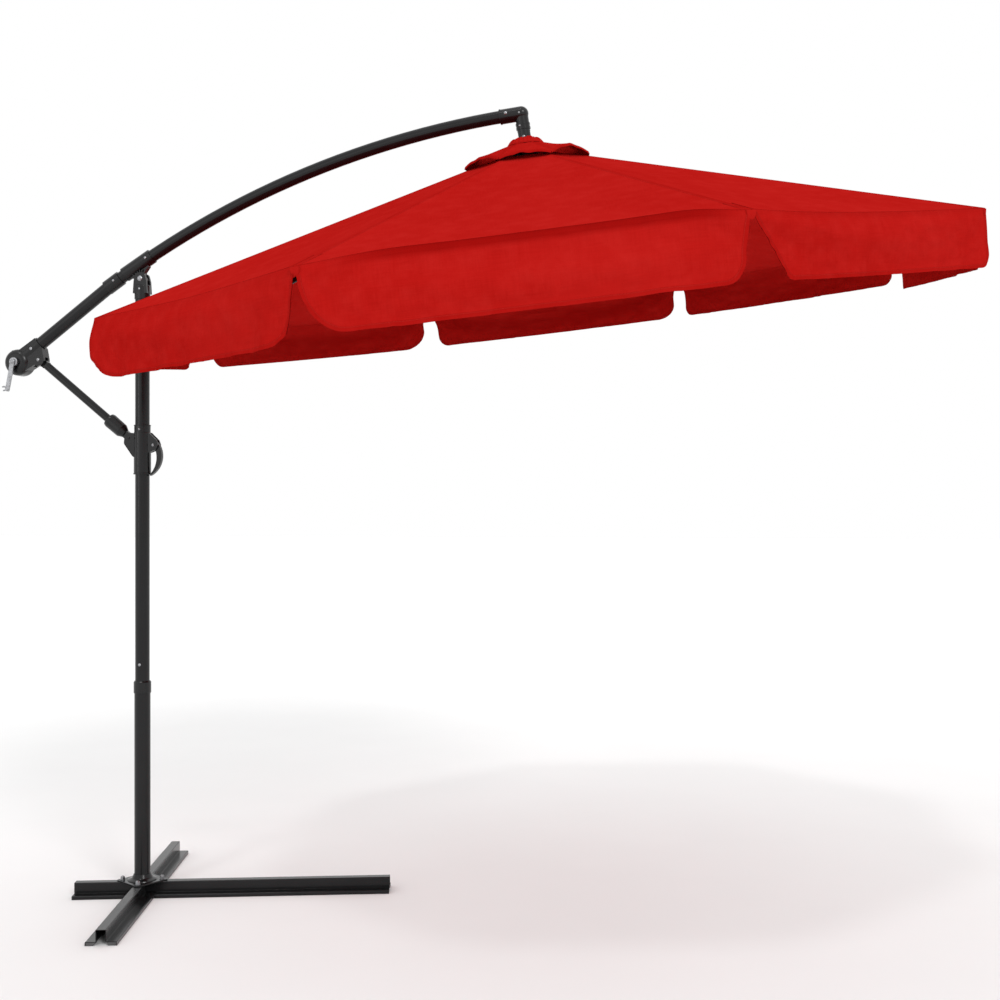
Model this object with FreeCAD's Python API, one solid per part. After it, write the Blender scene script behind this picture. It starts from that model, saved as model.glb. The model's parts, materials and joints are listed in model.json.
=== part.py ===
"""Cantilever patio umbrella with a cross base, as an assembly of separate solids.

Frame: millimetres, +Z up. The origin is on the floor on the mast's axis, +X runs from the mast
towards the canopy in the vertical plane of the arm, and +Y is to the left of somebody looking
along +X. The umbrella stands open, with the arm in its working position.
"""
import FreeCAD, Part
import math
import os
from FreeCAD import Placement, Rotation, Vector

# ---- Driving dimensions ----------------------------------------------------------------------
LEG_TURN = 11.0              # angle between the long leg and the arm's plane
LEG_WIDTH = 90.0
LEG_HEIGHT = 46.0
LEG_SHEET = 2.0
RIDGE_WIDTH = 30.0
FLANGE_HEIGHT = 12.0
LONG_LEG = (-210.0, 790.0)   # the long leg's ends along its own direction
CROSS_LEG = (-500.0, 500.0)
PLATE_SIDE = 117.0
PLATE_THICK = 4.0
BASE_BOLT_REACH = 62.0       # from the mast's axis to each base bolt

LOWER_MAST_R = 25.0
LOWER_MAST_WALL = 1.8
LOWER_MAST_TOP = 683.0
UPPER_MAST_R = 22.5
MAST_WALL = 1.5
UPPER_MAST_BOTTOM = 540.0
UPPER_MAST_TOP = 1952.0
STOP_SCREW_HEIGHT = 741.0

TILT_PIVOT = Vector(0, 0, 1977)      # the arm turns here, on the head of the mast
ARC_CENTRE = Vector(1559, 0, -415.4)   # the curved arm is one arc about this point
ARC_R = 2900.0
ARM_R = 19.5
ARM_WALL = 1.2
ARM_JOIN_X = -95.0           # where the straight lower tube meets the curved one
ARM_END_X = 1195.0
LOWER_ARM_R = 20.4
LOWER_ARM_SLOPE = 37.6
LOWER_ARM_START_X = -388.0

DRUM_CENTRE = Vector(-418, 0, 1714)
DRUM_R = 42.5
DRUM_DEPTH = 60.0
DRUM_DOME = 22.0             # rounding of the drum's front edge
DRUM_WALL = 3.5
STRUT_PIVOT = Vector(-345, 0, 1721)    # strut to crank housing
SLIDER_PIVOT = Vector(-39, 0, 1466)    # strut to slider
STRUT_R = 12.7
SLIDER_BOTTOM = 1350.0
SLIDER_TOP = 1509.0
SLIDER_R = 26.75
SLIDER_BORE_R = 23.7
LEVER_PIVOT = Vector(40, 0, 1444)

ELBOW = Vector(1230, 0, 2466)          # where the arm's end turns down
ELBOW_SLOPE = 7.5
ELBOW_TWIST = 6.0
HUB_DROP = Vector(10, 0, -72)          # from the elbow to the canopy's pivot, before the twist
CANOPY_TILT = -6.2
CANOPY_TURN = 27.3                     # direction of the first rib about the canopy's axis

CANOPY_R = 1340.0                      # corner radius of the octagon
CANOPY_RISE = 400.0                    # from the rim's plane to the cone's tip
TIP_Z = -31.4                          # the cone's tip below the canopy's pivot
FABRIC = 0.8
VENT_R = 150.0
VENT_CAP_R = 205.0
VENT_CAP_LIFT = 26.0
FLAP_DROP = 160.0
RIB_COUNT = 8
RIB_HINGE_R = 40.0
RIB_WIDTH = 10.0
RIB_HEIGHT = 16.0
RIB_WALL = 0.8
RIB_TONGUE = 6.0
RIB_CAP = 9.0                          # length of the cap on a rib's tip
RIB_BELOW_FABRIC = 1.9                 # from the cone's ridge down to the rib's top
STRETCHER_REACH = 560.0                # along the rib, from its hinge to the stretcher's bracket
STRETCHER_OFFSET = 14.0                # the bracket's pin below the rib's centreline
STRETCHER_TONGUE = 5.0
HUB_R = 48.0

CORD_R = 1.5
CORD_INSET = 16.0                      # the tight cord runs this far inside the arm's arc
SPOOL_WOUND_R = 20.0
PULLEY_R = 11.0
PULLEY_CENTRE = Vector(-4, 0, 1)       # from the elbow's corner

PIN_R = 4.0
PIN_CLEARANCE = 0.05
GAP = 0.3

X, Y, Z = Vector(1, 0, 0), Vector(0, 1, 0), Vector(0, 0, 1)
NODES = {}


# ---- Helpers ---------------------------------------------------------------------------------
def rod(radius, start, end):
    """A cylinder between two points."""
    along = end - start
    return Part.makeCylinder(radius, along.Length, start, along)


def pipe(outer, inner, start, end):
    """A tube between two points."""
    over = (end - start).normalize()
    return rod(outer, start, end).cut(rod(inner, start - over, end + over))


def across(radius, centre, y0, y1):
    """A cylinder along Y through a point of the XZ plane, from y0 to y1."""
    return rod(radius, Vector(centre.x, y0, centre.z), Vector(centre.x, y1, centre.z))


def box(low, high):
    """A box between two opposite corners."""
    return Part.makeBox(high[0] - low[0], high[1] - low[1], high[2] - low[2], Vector(*low))


def fuse(*shapes):
    """One solid from several that touch or overlap."""
    return shapes[0].multiFuse(list(shapes[1:])).removeSplitter()


def rounded_face(corners, to_point):
    """A flat face from corners (u, v, radius), with an arc at each corner that has a radius."""
    flat = [Vector(u, v, 0) for u, v, _ in corners]
    spans = []
    for i, (_, _, radius) in enumerate(corners):
        corner, before, after = flat[i], flat[i - 1], flat[(i + 1) % len(flat)]
        back = (before - corner).normalize()
        on = (after - corner).normalize()
        if radius <= 0:
            spans.append((corner, None, corner))
            continue
        half = back.getAngle(on) / 2
        reach = radius / math.tan(half)
        middle = corner + (back + on).normalize() * (radius / math.sin(half) - radius)
        spans.append((corner + back * reach, middle, corner + on * reach))
    edges = []
    for i, (start, middle, end) in enumerate(spans):
        if middle is not None:
            edges.append(Part.Arc(to_point(start), to_point(middle), to_point(end)).toShape())
        following = spans[(i + 1) % len(spans)][0]
        if end.distanceToPoint(following) > 1e-6:
            edges.append(Part.LineSegment(to_point(end), to_point(following)).toShape())
    return Part.Face(Part.Wire(edges))


def plate(corners, y0, y1):
    """A plate with a rounded outline in the XZ plane, from y0 to y1."""
    face = rounded_face(corners, lambda p: Vector(p.x, y0, p.y))
    return face.extrude(Vector(0, y1 - y0, 0))


def turned(corners):
    """A solid turned about Z from an outline of (radius, height, corner radius)."""
    face = rounded_face(corners, lambda p: Vector(p.x, 0, p.y))
    return face.revolve(Vector(0, 0, 0), Z, 360)


def hexagon(flats, start, height, direction=Z):
    """A hexagonal prism, for a nut or a bolt head."""
    reach = flats / 2 / math.cos(math.radians(30))
    points = [Vector(reach * math.cos(math.radians(60 * k)), reach * math.sin(math.radians(60 * k)), 0)
              for k in range(7)]
    prism = Part.Face(Part.makePolygon(points)).extrude(Z * height)
    prism.Placement = Placement(start, Rotation(Z, direction))
    return prism


def dome(radius, height, start, direction):
    """A round screw head: a low dome with a straight rim."""
    rim = height * 0.3
    sphere_r = (radius ** 2 + (height - rim) ** 2) / (2 * (height - rim))
    head = Part.makeCylinder(radius, height, start, direction)
    ball = Part.makeSphere(sphere_r, start + direction * (height - sphere_r))
    return head.common(ball)


def seat(body, radius, point, outward):
    """The body with a flat seat cut into it for a screw's head."""
    return body.cut(rod(radius + GAP, point, point + outward * 12))


def cross_bolt(centre, shank_r, y0, y1, head_r, head_height):
    """A bolt along Y with a domed head at y0 and a hexagonal nut at y1, as one clamped set."""
    head = dome(head_r, head_height, Vector(centre.x, y0, centre.z), Y * -1)
    nut = hexagon(head_r * 1.6, Vector(centre.x, y1, centre.z), head_height, Y)
    return fuse(across(shank_r, centre, y0 - 0.5, y1 + 0.5), head, nut)


def keep(node, *solids):
    """Keeps the solids of one node."""
    shape = solids[0] if len(solids) == 1 else Part.makeCompound(list(solids))
    NODES[node] = shape


def arc_point(x, inset=0.0):
    """The point of the arm's arc, or of an arc inside it, whose direction passes through x."""
    height = math.sqrt(ARC_R ** 2 - (x - ARC_CENTRE.x) ** 2)
    outward = Vector(x - ARC_CENTRE.x, 0, height).normalize()
    return ARC_CENTRE + outward * (ARC_R - inset)


def polar(centre, radius, degrees):
    """A point of the XZ plane at an angle above +X from a centre."""
    turn = math.radians(degrees)
    return centre + Vector(math.cos(turn), 0, math.sin(turn)) * radius


# ---- Places worked out from the dimensions ---------------------------------------------------
leg_place = Placement(Vector(), Rotation(Z, LEG_TURN))
cross_place = Placement(Vector(), Rotation(Z, LEG_TURN + 90))
arm_join = arc_point(ARM_JOIN_X)
arm_end = arc_point(ARM_END_X)
lower_arm_dir = Vector(math.cos(math.radians(LOWER_ARM_SLOPE)), 0, math.sin(math.radians(LOWER_ARM_SLOPE)))
lower_arm_start = arm_join - lower_arm_dir * ((arm_join.x - LOWER_ARM_START_X) / lower_arm_dir.x)
elbow_dir = Vector(math.cos(math.radians(ELBOW_SLOPE)), 0, math.sin(math.radians(ELBOW_SLOPE)))
elbow_place = Placement(ELBOW, Rotation(elbow_dir, ELBOW_TWIST))
hub_pivot = elbow_place.multVec(HUB_DROP)
canopy_place = Placement(hub_pivot, Rotation(elbow_dir, ELBOW_TWIST).multiply(Rotation(Y, CANOPY_TILT)))

rib_slope = math.degrees(math.atan2(CANOPY_RISE, CANOPY_R))
cone_slope = CANOPY_RISE / CANOPY_R
rib_half_rise = RIB_HEIGHT / 2 / math.cos(math.radians(rib_slope))
hinge_z = TIP_Z - RIB_HINGE_R * cone_slope - rib_half_rise - RIB_BELOW_FABRIC
rim_z = TIP_Z - CANOPY_RISE
stretcher_length = math.hypot(STRETCHER_REACH, STRETCHER_OFFSET)
pin_slope = rib_slope + math.degrees(math.atan2(STRETCHER_OFFSET, STRETCHER_REACH))
runner_z = hinge_z - 2 * stretcher_length * math.sin(math.radians(pin_slope))
rib_length = (CANOPY_R - RIB_HINGE_R - 7) / math.cos(math.radians(rib_slope)) - RIB_CAP


# ---- Base ------------------------------------------------------------------------------------
def hat_profile():
    """The folded section of a leg: a ridge, two flanges and two turned-down edges."""
    half, ridge, sheet = LEG_WIDTH / 2, RIDGE_WIDTH / 2, LEG_SHEET
    outside = [(-half, 0, 0), (-half, FLANGE_HEIGHT, 3), (-ridge, FLANGE_HEIGHT, 1),
               (-ridge, LEG_HEIGHT, 3), (ridge, LEG_HEIGHT, 3), (ridge, FLANGE_HEIGHT, 1),
               (half, FLANGE_HEIGHT, 3), (half, 0, 0)]
    inside = [(half - sheet, 0, 0), (half - sheet, FLANGE_HEIGHT - sheet, 1),
              (ridge - sheet, FLANGE_HEIGHT - sheet, 3), (ridge - sheet, LEG_HEIGHT - sheet, 1),
              (sheet - ridge, LEG_HEIGHT - sheet, 1), (sheet - ridge, FLANGE_HEIGHT - sheet, 3),
              (sheet - half, FLANGE_HEIGHT - sheet, 1), (sheet - half, 0, 0)]
    return outside + inside


def leg(ends):
    """One leg along X, before its notch and its turn."""
    face = rounded_face(hat_profile(), lambda p: Vector(ends[0], p.x, p.y))
    solid = face.extrude(Vector(ends[1] - ends[0], 0, 0))
    for reach in (-BASE_BOLT_REACH, BASE_BOLT_REACH):
        solid = solid.cut(rod(PIN_R + GAP, Vector(reach, 0, 0), Vector(reach, 0, LEG_HEIGHT + 1)))
    return solid


def foot_pads(ends):
    """Four plastic pads that fill the flanges at a leg's two ends."""
    inner, outer, top = 21.0, LEG_WIDTH / 2 - LEG_SHEET - GAP, FLANGE_HEIGHT - LEG_SHEET - GAP
    pads = []
    for start in (ends[0] + 0.5, ends[1] - 40.5):
        for side in (-1, 1):
            corners = [(side * inner, 0, 0), (side * outer, 0, 0), (side * outer, top, 1.5),
                       (side * (inner - 5), top, 0)]
            face = rounded_face(corners, lambda p: Vector(start, p.x, p.y))
            pads.append(face.extrude(X * 40))
    return pads


def make_base():
    ridge, flange = RIDGE_WIDTH / 2 + 0.7, FLANGE_HEIGHT + LEG_SHEET
    under_notch = box((-LEG_WIDTH / 2 - 1, -60, -1), (LEG_WIDTH / 2 + 1, 60, flange + GAP))
    over_notch = box((-ridge, -60, FLANGE_HEIGHT + 0.2), (ridge, 60, 60))
    long_leg = leg(LONG_LEG).cut(under_notch)
    cross_leg = leg(CROSS_LEG).cut(over_notch)
    long_leg.Placement = leg_place
    cross_leg.Placement = cross_place
    keep("leg_long", long_leg)
    keep("leg_cross", cross_leg)
    pads = []
    for ends, place in ((LONG_LEG, leg_place), (CROSS_LEG, cross_place)):
        for pad in foot_pads(ends):
            pad.Placement = place.multiply(pad.Placement)
            pads.append(pad)
    keep("leg_end_pads", *pads)

    half = PLATE_SIDE / 2
    corners = [(half, -half, 8), (half, half, 8), (-half, half, 8), (-half, -half, 8)]
    square = rounded_face(corners, lambda p: Vector(p.x, p.y, LEG_HEIGHT))
    base_plate = square.extrude(Z * PLATE_THICK)
    base_plate.Placement = Placement(Vector(), Rotation(Z, LEG_TURN + 45))
    base_plate = base_plate.makeFillet(1.2, [e for e in base_plate.Edges
                                             if e.BoundBox.ZMin > LEG_HEIGHT + PLATE_THICK - 0.1])
    bolts, washers, nuts = [], [], []
    top = LEG_HEIGHT + PLATE_THICK
    for quarter in range(4):
        turn = math.radians(LEG_TURN + 90 * quarter)
        spot = Vector(BASE_BOLT_REACH * math.cos(turn), BASE_BOLT_REACH * math.sin(turn), 0)
        base_plate = base_plate.cut(rod(PIN_R + GAP, spot, spot + Z * 60))
        bolt_top = top + 9
        bolts.append(fuse(rod(PIN_R, spot + Z * 37, spot + Z * bolt_top),
                          hexagon(13, spot + Z * (LEG_HEIGHT - LEG_SHEET - 5.5), 5.5)))
        washers.append(pipe(8, PIN_R + GAP, spot + Z * top, spot + Z * (top + 1.6)))
        cap = dome(6.4, 5, spot + Z * (top + 8), Z)
        nut = fuse(hexagon(13, spot + Z * (top + 1.6), 6.6), cap)
        nuts.append(nut.cut(rod(PIN_R + GAP, spot + Z * top, spot + Z * (bolt_top + GAP))))
    skirt = turned([(LOWER_MAST_R + 0.05, top, 0), (46, top, 0), (45, top + 2.5, 0), (33, top + 7, 6),
                    (LOWER_MAST_R + 1.5, top + 20, 0), (LOWER_MAST_R + 0.05, top + 20, 0)])
    keep("base_plate", fuse(base_plate, skirt).cut(rod(20, Z * (LEG_HEIGHT - 6), Z * top)))
    keep("base_bolt_sets", *bolts, *washers, *nuts)


# ---- Mast ------------------------------------------------------------------------------------
def make_mast():
    foot = LEG_HEIGHT + PLATE_THICK
    inner = LOWER_MAST_R - LOWER_MAST_WALL
    keep("lower_mast", pipe(LOWER_MAST_R, inner, Z * foot, Z * LOWER_MAST_TOP))
    stop_ring = pipe(inner - 0.05, 15, Z * (UPPER_MAST_BOTTOM - 12), Z * UPPER_MAST_BOTTOM)
    collar_out = LOWER_MAST_R + 2.2
    keep("mast_collar", turned([
        (LOWER_MAST_R + 0.05, LOWER_MAST_TOP - 34, 0), (collar_out, LOWER_MAST_TOP - 34, 1),
        (collar_out, LOWER_MAST_TOP + 1, 0), (UPPER_MAST_R + 1.8, LOWER_MAST_TOP + 5, 0),
        (UPPER_MAST_R + 0.1, LOWER_MAST_TOP + 5, 0), (UPPER_MAST_R + 0.1, LOWER_MAST_TOP + 0.1, 0),
        (LOWER_MAST_R + 0.05, LOWER_MAST_TOP + 0.1, 0)]))
    bushing = pipe(inner - 0.05, UPPER_MAST_R + 0.05, Z * (LOWER_MAST_TOP - 60), Z * LOWER_MAST_TOP)
    keep("mast_bushings", stop_ring, bushing)

    upper = pipe(UPPER_MAST_R, UPPER_MAST_R - MAST_WALL, Z * UPPER_MAST_BOTTOM, Z * UPPER_MAST_TOP)
    head_screw_z = TILT_PIVOT.z - 33
    for height in (STOP_SCREW_HEIGHT, head_screw_z):
        upper = upper.cut(across(3.1, Vector(0, 0, height), -30, 30 if height == head_screw_z else 0))
    keep("upper_mast", upper)
    stop_head = dome(4.5, 2.6, Vector(0, -UPPER_MAST_R, STOP_SCREW_HEIGHT), Y * -1)
    stop_screw = fuse(stop_head, across(3, Vector(0, 0, STOP_SCREW_HEIGHT), -UPPER_MAST_R, -14))

    # The head: a cap over the top of the mast with two ears for the arm's clamp.
    cap_r, floor = 24.6, TILT_PIVOT.z - 19.5
    cap = turned([(0, UPPER_MAST_TOP + 0.1, 0), (UPPER_MAST_R + 0.05, UPPER_MAST_TOP + 0.1, 0),
                  (UPPER_MAST_R + 0.05, 1912, 0), (cap_r, 1912, 1.2), (cap_r, floor, 3), (0, floor, 0)])
    ear = [(-cap_r + 1, 1930, 0), (cap_r - 1, 1930, 0), (21, floor + 12, 10),
           (14, TILT_PIVOT.z + 19, 12), (-14, TILT_PIVOT.z + 19, 12), (-21, floor + 12, 10)]
    ears = plate(ear, -20, 20)
    slot = box((-40, -10.4, floor), (40, 10.4, TILT_PIVOT.z + 40))
    hollow = rod(UPPER_MAST_R + 0.05, Z * 1900, Z * (UPPER_MAST_TOP + 0.1))
    head = fuse(cap, ears).cut(slot).cut(hollow)
    head = head.cut(across(PIN_R + PIN_CLEARANCE, TILT_PIVOT, -30, 30))
    head = head.cut(across(3.1, Vector(0, 0, head_screw_z), -30, 30))
    keep("mast_head", head)
    head_screw = cross_bolt(Vector(0, 0, head_screw_z), 3, -cap_r, cap_r, 5.5, 3.2)
    tilt_bolt = cross_bolt(TILT_PIVOT, PIN_R, -20.05, 20.05, 8.5, 4.5)
    keep("mast_bolts", stop_screw, head_screw, tilt_bolt)


# ---- Arm -------------------------------------------------------------------------------------
def swept_arm(radius, from_point, to_point):
    """A round bar along the arm's arc between two points of it."""
    start = math.degrees(math.atan2(from_point.z - ARC_CENTRE.z, from_point.x - ARC_CENTRE.x))
    end = math.degrees(math.atan2(to_point.z - ARC_CENTRE.z, to_point.x - ARC_CENTRE.x))
    along = Vector(math.sin(math.radians(start)), 0, -math.cos(math.radians(start)))
    circle = Part.Wire(Part.makeCircle(radius, from_point, along))
    return Part.Face(circle).revolve(ARC_CENTRE, Y, start - end)


def make_arm():
    short = lower_arm_dir * 0.4
    lower = pipe(LOWER_ARM_R, LOWER_ARM_R - ARM_WALL, lower_arm_start, arm_join - short)
    start = arc_point(ARM_JOIN_X + 1.5)
    bore = swept_arm(ARM_R - ARM_WALL, arc_point(ARM_JOIN_X), arc_point(ARM_END_X + 5))
    upper = swept_arm(ARM_R, start, arm_end).cut(bore)

    # A collar covers the joint of the two tubes.
    collar_dir = (arc_point(ARM_JOIN_X + 28) - arc_point(ARM_JOIN_X - 28)).normalize()
    collar = rod(23.4, arm_join - collar_dir * 28, arm_join + collar_dir * 28)
    collar = collar.cut(rod(LOWER_ARM_R + 0.05, arm_join - lower_arm_dir * 40, arm_join))
    collar = collar.cut(swept_arm(LOWER_ARM_R - 0.4, arc_point(ARM_JOIN_X - 1), arc_point(ARM_JOIN_X + 40)))
    screws = []
    collar_screw = arm_join + collar_dir * 8
    for side in (-1, 1):
        start = collar_screw + Y * (22.8 * side)
        shank = rod(2.5, collar_screw + Y * (18 * side), start)
        screws.append(fuse(dome(3.6, 2.4, start, Y * side), shank))
        hole = rod(2.6, collar_screw + Y * (10 * side), collar_screw + Y * (30 * side))
        collar = seat(collar.cut(hole), 3.6, start, Y * side)
        upper = upper.cut(hole)
    keep("arm_lower_tube", lower)
    keep("arm_upper_tube", upper)
    keep("arm_collar", collar)

    # The clamp: a sleeve round the arm with a ribbed lug down to the pivot on the mast.
    middle = arc_point(-13)
    along = (arc_point(10) - arc_point(-36)).normalize()
    down = Vector(along.z, 0, -along.x)
    frame = Placement(middle, Rotation(along, Y, down * -1, "XYZ"))
    pivot = frame.inverse().multVec(TILT_PIVOT)
    sleeve = rod(23.4, Vector(-55, 0, 0), Vector(55, 0, 0))
    sleeve = sleeve.makeFillet(1.5, [e for e in sleeve.Edges if e.Length > 100 and e.BoundBox.XLength < 1])
    web = plate([(-40, -14, 0), (30, -14, 0), (30, -24, 6), (pivot.x + 17, pivot.z + 10, 12),
                 (pivot.x + 13, pivot.z - 17, 11), (pivot.x - 13, pivot.z - 17, 11),
                 (pivot.x - 17, pivot.z + 10, 12), (-40, -24, 6)], -10, 10)
    solids = [sleeve, web]
    for step in range(-2, 3):
        fin = box((-1.4, -14.5, 22), (1.4, 14.5, 31))
        fin.Placement = Placement(pivot, Rotation(Y, 19 * step + 6))
        solids.append(fin)
    clamp = fuse(*solids).cut(across(PIN_R + PIN_CLEARANCE, pivot, -30, 30))
    clamp.Placement = frame
    clamp = clamp.cut(swept_arm(ARM_R + 0.05, arc_point(-90), arc_point(70)))
    for side in (-1, 1):
        start = frame.multVec(Vector(38, 23 * side, 0))
        screws.append(dome(4, 2.5, start, Y * side))
        clamp = seat(clamp, 4, start, Y * side)
    keep("arm_clamp", clamp)
    return screws


def make_elbow():
    back = elbow_dir * -1
    leg_dir = Vector(HUB_DROP).normalize()
    sleeve = rod(22.6, back * 67, Vector())
    lip = rod(23.8, back * 67, back * 63)
    corner = Part.makeSphere(22.6)
    neck = rod(20.6, Vector(), leg_dir * 40)
    ring_low = rod(22.4, leg_dir * 30, leg_dir * 36)
    ring_mid = rod(21.6, leg_dir * 36, leg_dir * 42)
    ring_end = rod(22.4, leg_dir * 42, leg_dir * 49)
    fork = rod(20.2, leg_dir * 40, leg_dir * 92)
    side_profile = Part.makeCylinder(17.5, 60, HUB_DROP - Y * 30, Y)
    upper_part = box((-30, -30, -60), (40, 30, 0))
    fork = fork.common(fuse(side_profile, upper_part, rod(30, HUB_DROP + Z * 18, HUB_DROP + Z)))
    body = fuse(sleeve, lip, corner, neck, ring_low, ring_mid, ring_end, fork)
    slot_place = Placement(HUB_DROP, Rotation(Z * -1, leg_dir))
    slot = box((-40, -7.6, -40), (40, 7.6, 17.5))
    slot.Placement = slot_place
    body = body.cut(slot)
    body = body.cut(across(PULLEY_R + 4, PULLEY_CENTRE, -5, 5))
    way = box((-45, -3.5, -9), (0, 3.5, 15))
    body = body.cut(way)
    drop_start = polar(PULLEY_CENTRE, PULLEY_R, math.degrees(math.atan2(leg_dir.x, -leg_dir.z)))
    body = body.cut(rod(3, drop_start, drop_start + leg_dir * 60))
    body = body.cut(across(3.05, PULLEY_CENTRE, -30, 30))
    body = body.cut(across(3.55, HUB_DROP, -30, 30))
    heads = []
    for side in (-1, 1):
        outward = Y * side
        for radius, height, start in ((5, 2.8, Vector(-46, 22.3 * side, 0)),
                                      (3, 1.8, leg_dir * 39 + Vector(-8, 19.8 * side, 0))):
            heads.append(dome(radius, height, start, outward))
            body = seat(body, radius, start, outward)
        body = seat(body, 4, PULLEY_CENTRE + Y * (21.6 * side), outward)
        body = seat(body, 4.4, HUB_DROP + Y * (20 * side), outward)
    for solid in [body] + heads:
        solid.Placement = elbow_place
    keep("elbow", body.cut(swept_arm(ARM_R + 0.05, arc_point(ARM_END_X - 70), arc_point(ARM_END_X + 0.5))))

    # The pulley's groove is wide enough for the cord to come in from the arm's own plane.
    groove, flange = PULLEY_R - 1.7, PULLEY_R + 2
    pulley = turned([(3.05, -4.4, 0), (flange, -4.4, 0), (flange, -3.9, 0), (groove, -3.1, 0),
                     (groove, 3.1, 0), (flange, 3.9, 0), (flange, 4.4, 0), (3.05, 4.4, 0)])
    pulley.Placement = elbow_place.multiply(Placement(PULLEY_CENTRE, Rotation(Z, Y)))
    keep("cord_pulley", pulley)
    axle = cross_bolt(PULLEY_CENTRE, 3, -21.6, 21.6, 4, 2.4)
    axle.Placement = elbow_place
    bolt = cross_bolt(HUB_DROP, 3.5, -20.05, 20.05, 4.4, 2.6)
    bolt.Placement = elbow_place
    return drop_start, leg_dir, heads, [axle, bolt]


# ---- Crank housing ---------------------------------------------------------------------------
def make_crank_housing():
    half = DRUM_DEPTH / 2
    drum = across(DRUM_R, DRUM_CENTRE, -half, half)
    drum = drum.makeFillet(7, [e for e in drum.Edges if e.BoundBox.YMin > half - 1])
    drum = drum.makeFillet(DRUM_DOME, [e for e in drum.Edges if e.BoundBox.YMax < 1 - half])
    socket_start = lower_arm_start - lower_arm_dir * 12
    socket_end = lower_arm_start + lower_arm_dir * 56
    socket = rod(24, socket_start, socket_end)
    down = Vector(lower_arm_dir.z, 0, -lower_arm_dir.x)
    neck_corners = [socket_start + down * -23.5, socket_end + down * -20, socket_end + down * 20,
                    STRUT_PIVOT + Vector(20, 0, 4), DRUM_CENTRE + Vector(30, 0, -28),
                    DRUM_CENTRE + Vector(-16, 0, 38)]
    neck = plate([(p.x, p.z, 0) for p in neck_corners], -20, 20)
    lug = across(20, STRUT_PIVOT, -20, 20)
    body = fuse(drum, socket, neck, lug)

    cavity = across(DRUM_R - DRUM_WALL, DRUM_CENTRE, DRUM_WALL - half, half - DRUM_WALL)
    front_edges = [e for e in cavity.Edges if e.BoundBox.YMax < DRUM_WALL + 1 - half]
    cavity = cavity.makeFillet(DRUM_DOME - DRUM_WALL, front_edges)
    tube_bore = rod(LOWER_ARM_R + 0.1, lower_arm_start - lower_arm_dir * 0.2,
                    socket_end + lower_arm_dir * 5)
    cord_way = rod(18.5, DRUM_CENTRE, lower_arm_start + lower_arm_dir)
    lug_slot = fuse(across(21, STRUT_PIVOT, -9.4, 9.4),
                    box((STRUT_PIVOT.x - 21, -9.4, STRUT_PIVOT.z - 70),
                        (STRUT_PIVOT.x + 60, 9.4, STRUT_PIVOT.z)))
    body = body.cut(cavity).cut(tube_bore).cut(cord_way).cut(lug_slot.cut(drum))
    body = body.cut(across(PIN_R + PIN_CLEARANCE, STRUT_PIVOT, -30, 30))
    body = body.cut(across(6.05, DRUM_CENTRE, -40, 40))
    socket_screw = lower_arm_start + lower_arm_dir * 26
    body = body.cut(across(2.6, socket_screw, -40, 40))
    for side in (-1, 1):
        body = seat(body, 4.8, socket_screw + Y * (23.6 * side), Y * side)
    front = body.common(box((-600, -60, 1500), (-200, -0.05, 1900)))
    rear = body.common(box((-600, 0.05, 1500), (-200, 60, 1900)))
    keep("crank_housing_front", max(front.Solids, key=lambda s: s.Volume))
    keep("crank_housing_rear", max(rear.Solids, key=lambda s: s.Volume))
    screws = []
    for outward in (Y * -1, Y):
        shank = rod(2.5, socket_screw + outward * (LOWER_ARM_R + 0.3), socket_screw + outward * 24)
        screws.append(fuse(dome(4.8, 2.8, socket_screw + outward * 23.6, outward), shank))

    # Inside: spool, ratchet wheel and the pawl that holds the cord.
    spool = turned([(6.05, -16, 0), (32, -16, 0), (32, -13.5, 0), (13, -13.5, 0),
                    (13, 13.5, 0), (32, 13.5, 0), (32, 16, 0), (6.05, 16, 0)])
    spool.Placement = Placement(DRUM_CENTRE, Rotation(Z, Y))
    wound_r = SPOOL_WOUND_R - CORD_R
    wound = turned([(13.1, -11, 0), (wound_r, -11, 2), (wound_r, 11, 2), (13.1, 11, 0)])
    wound.Placement = Placement(DRUM_CENTRE, Rotation(Z, Y))
    front_y = -42.0
    bar_y = front_y - 4.5
    shaft = across(6, DRUM_CENTRE, bar_y + 0.1, 34)
    circlip = pipe(9, 6.05, DRUM_CENTRE + Y * 30.6, DRUM_CENTRE + Y * 32.2)
    ratchet = across(24, DRUM_CENTRE, 16.6, 20.6)
    teeth = 12
    for tooth in range(teeth):
        turn = 360.0 / teeth * tooth
        root = polar(DRUM_CENTRE, 19.5, turn)
        notch = plate([(0, 0, 0), (8, 0, 0), (8, 9, 0)], 16, 21)
        notch.Placement = Placement(root, Rotation(Y, -turn))
        ratchet = ratchet.cut(notch)
    ratchet = ratchet.cut(across(6.05, DRUM_CENTRE, 10, 30))
    keep("cord_spool", spool, ratchet)
    keep("wound_cord", wound)
    pawl_pin = polar(DRUM_CENTRE, 32, 250)
    pawl_tip = polar(DRUM_CENTRE, 24.6, 292)
    pawl = fuse(across(4, pawl_pin, 16.8, 20.4),
                plate([(pawl_pin.x, pawl_pin.z + 3, 0), (pawl_pin.x, pawl_pin.z - 3, 0),
                       (pawl_tip.x, pawl_tip.z - 1.5, 0), (pawl_tip.x, pawl_tip.z, 0)], 16.8, 20.4))
    keep("ratchet_pawl", pawl.cut(across(1.8, pawl_pin, 10, 30)))

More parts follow.
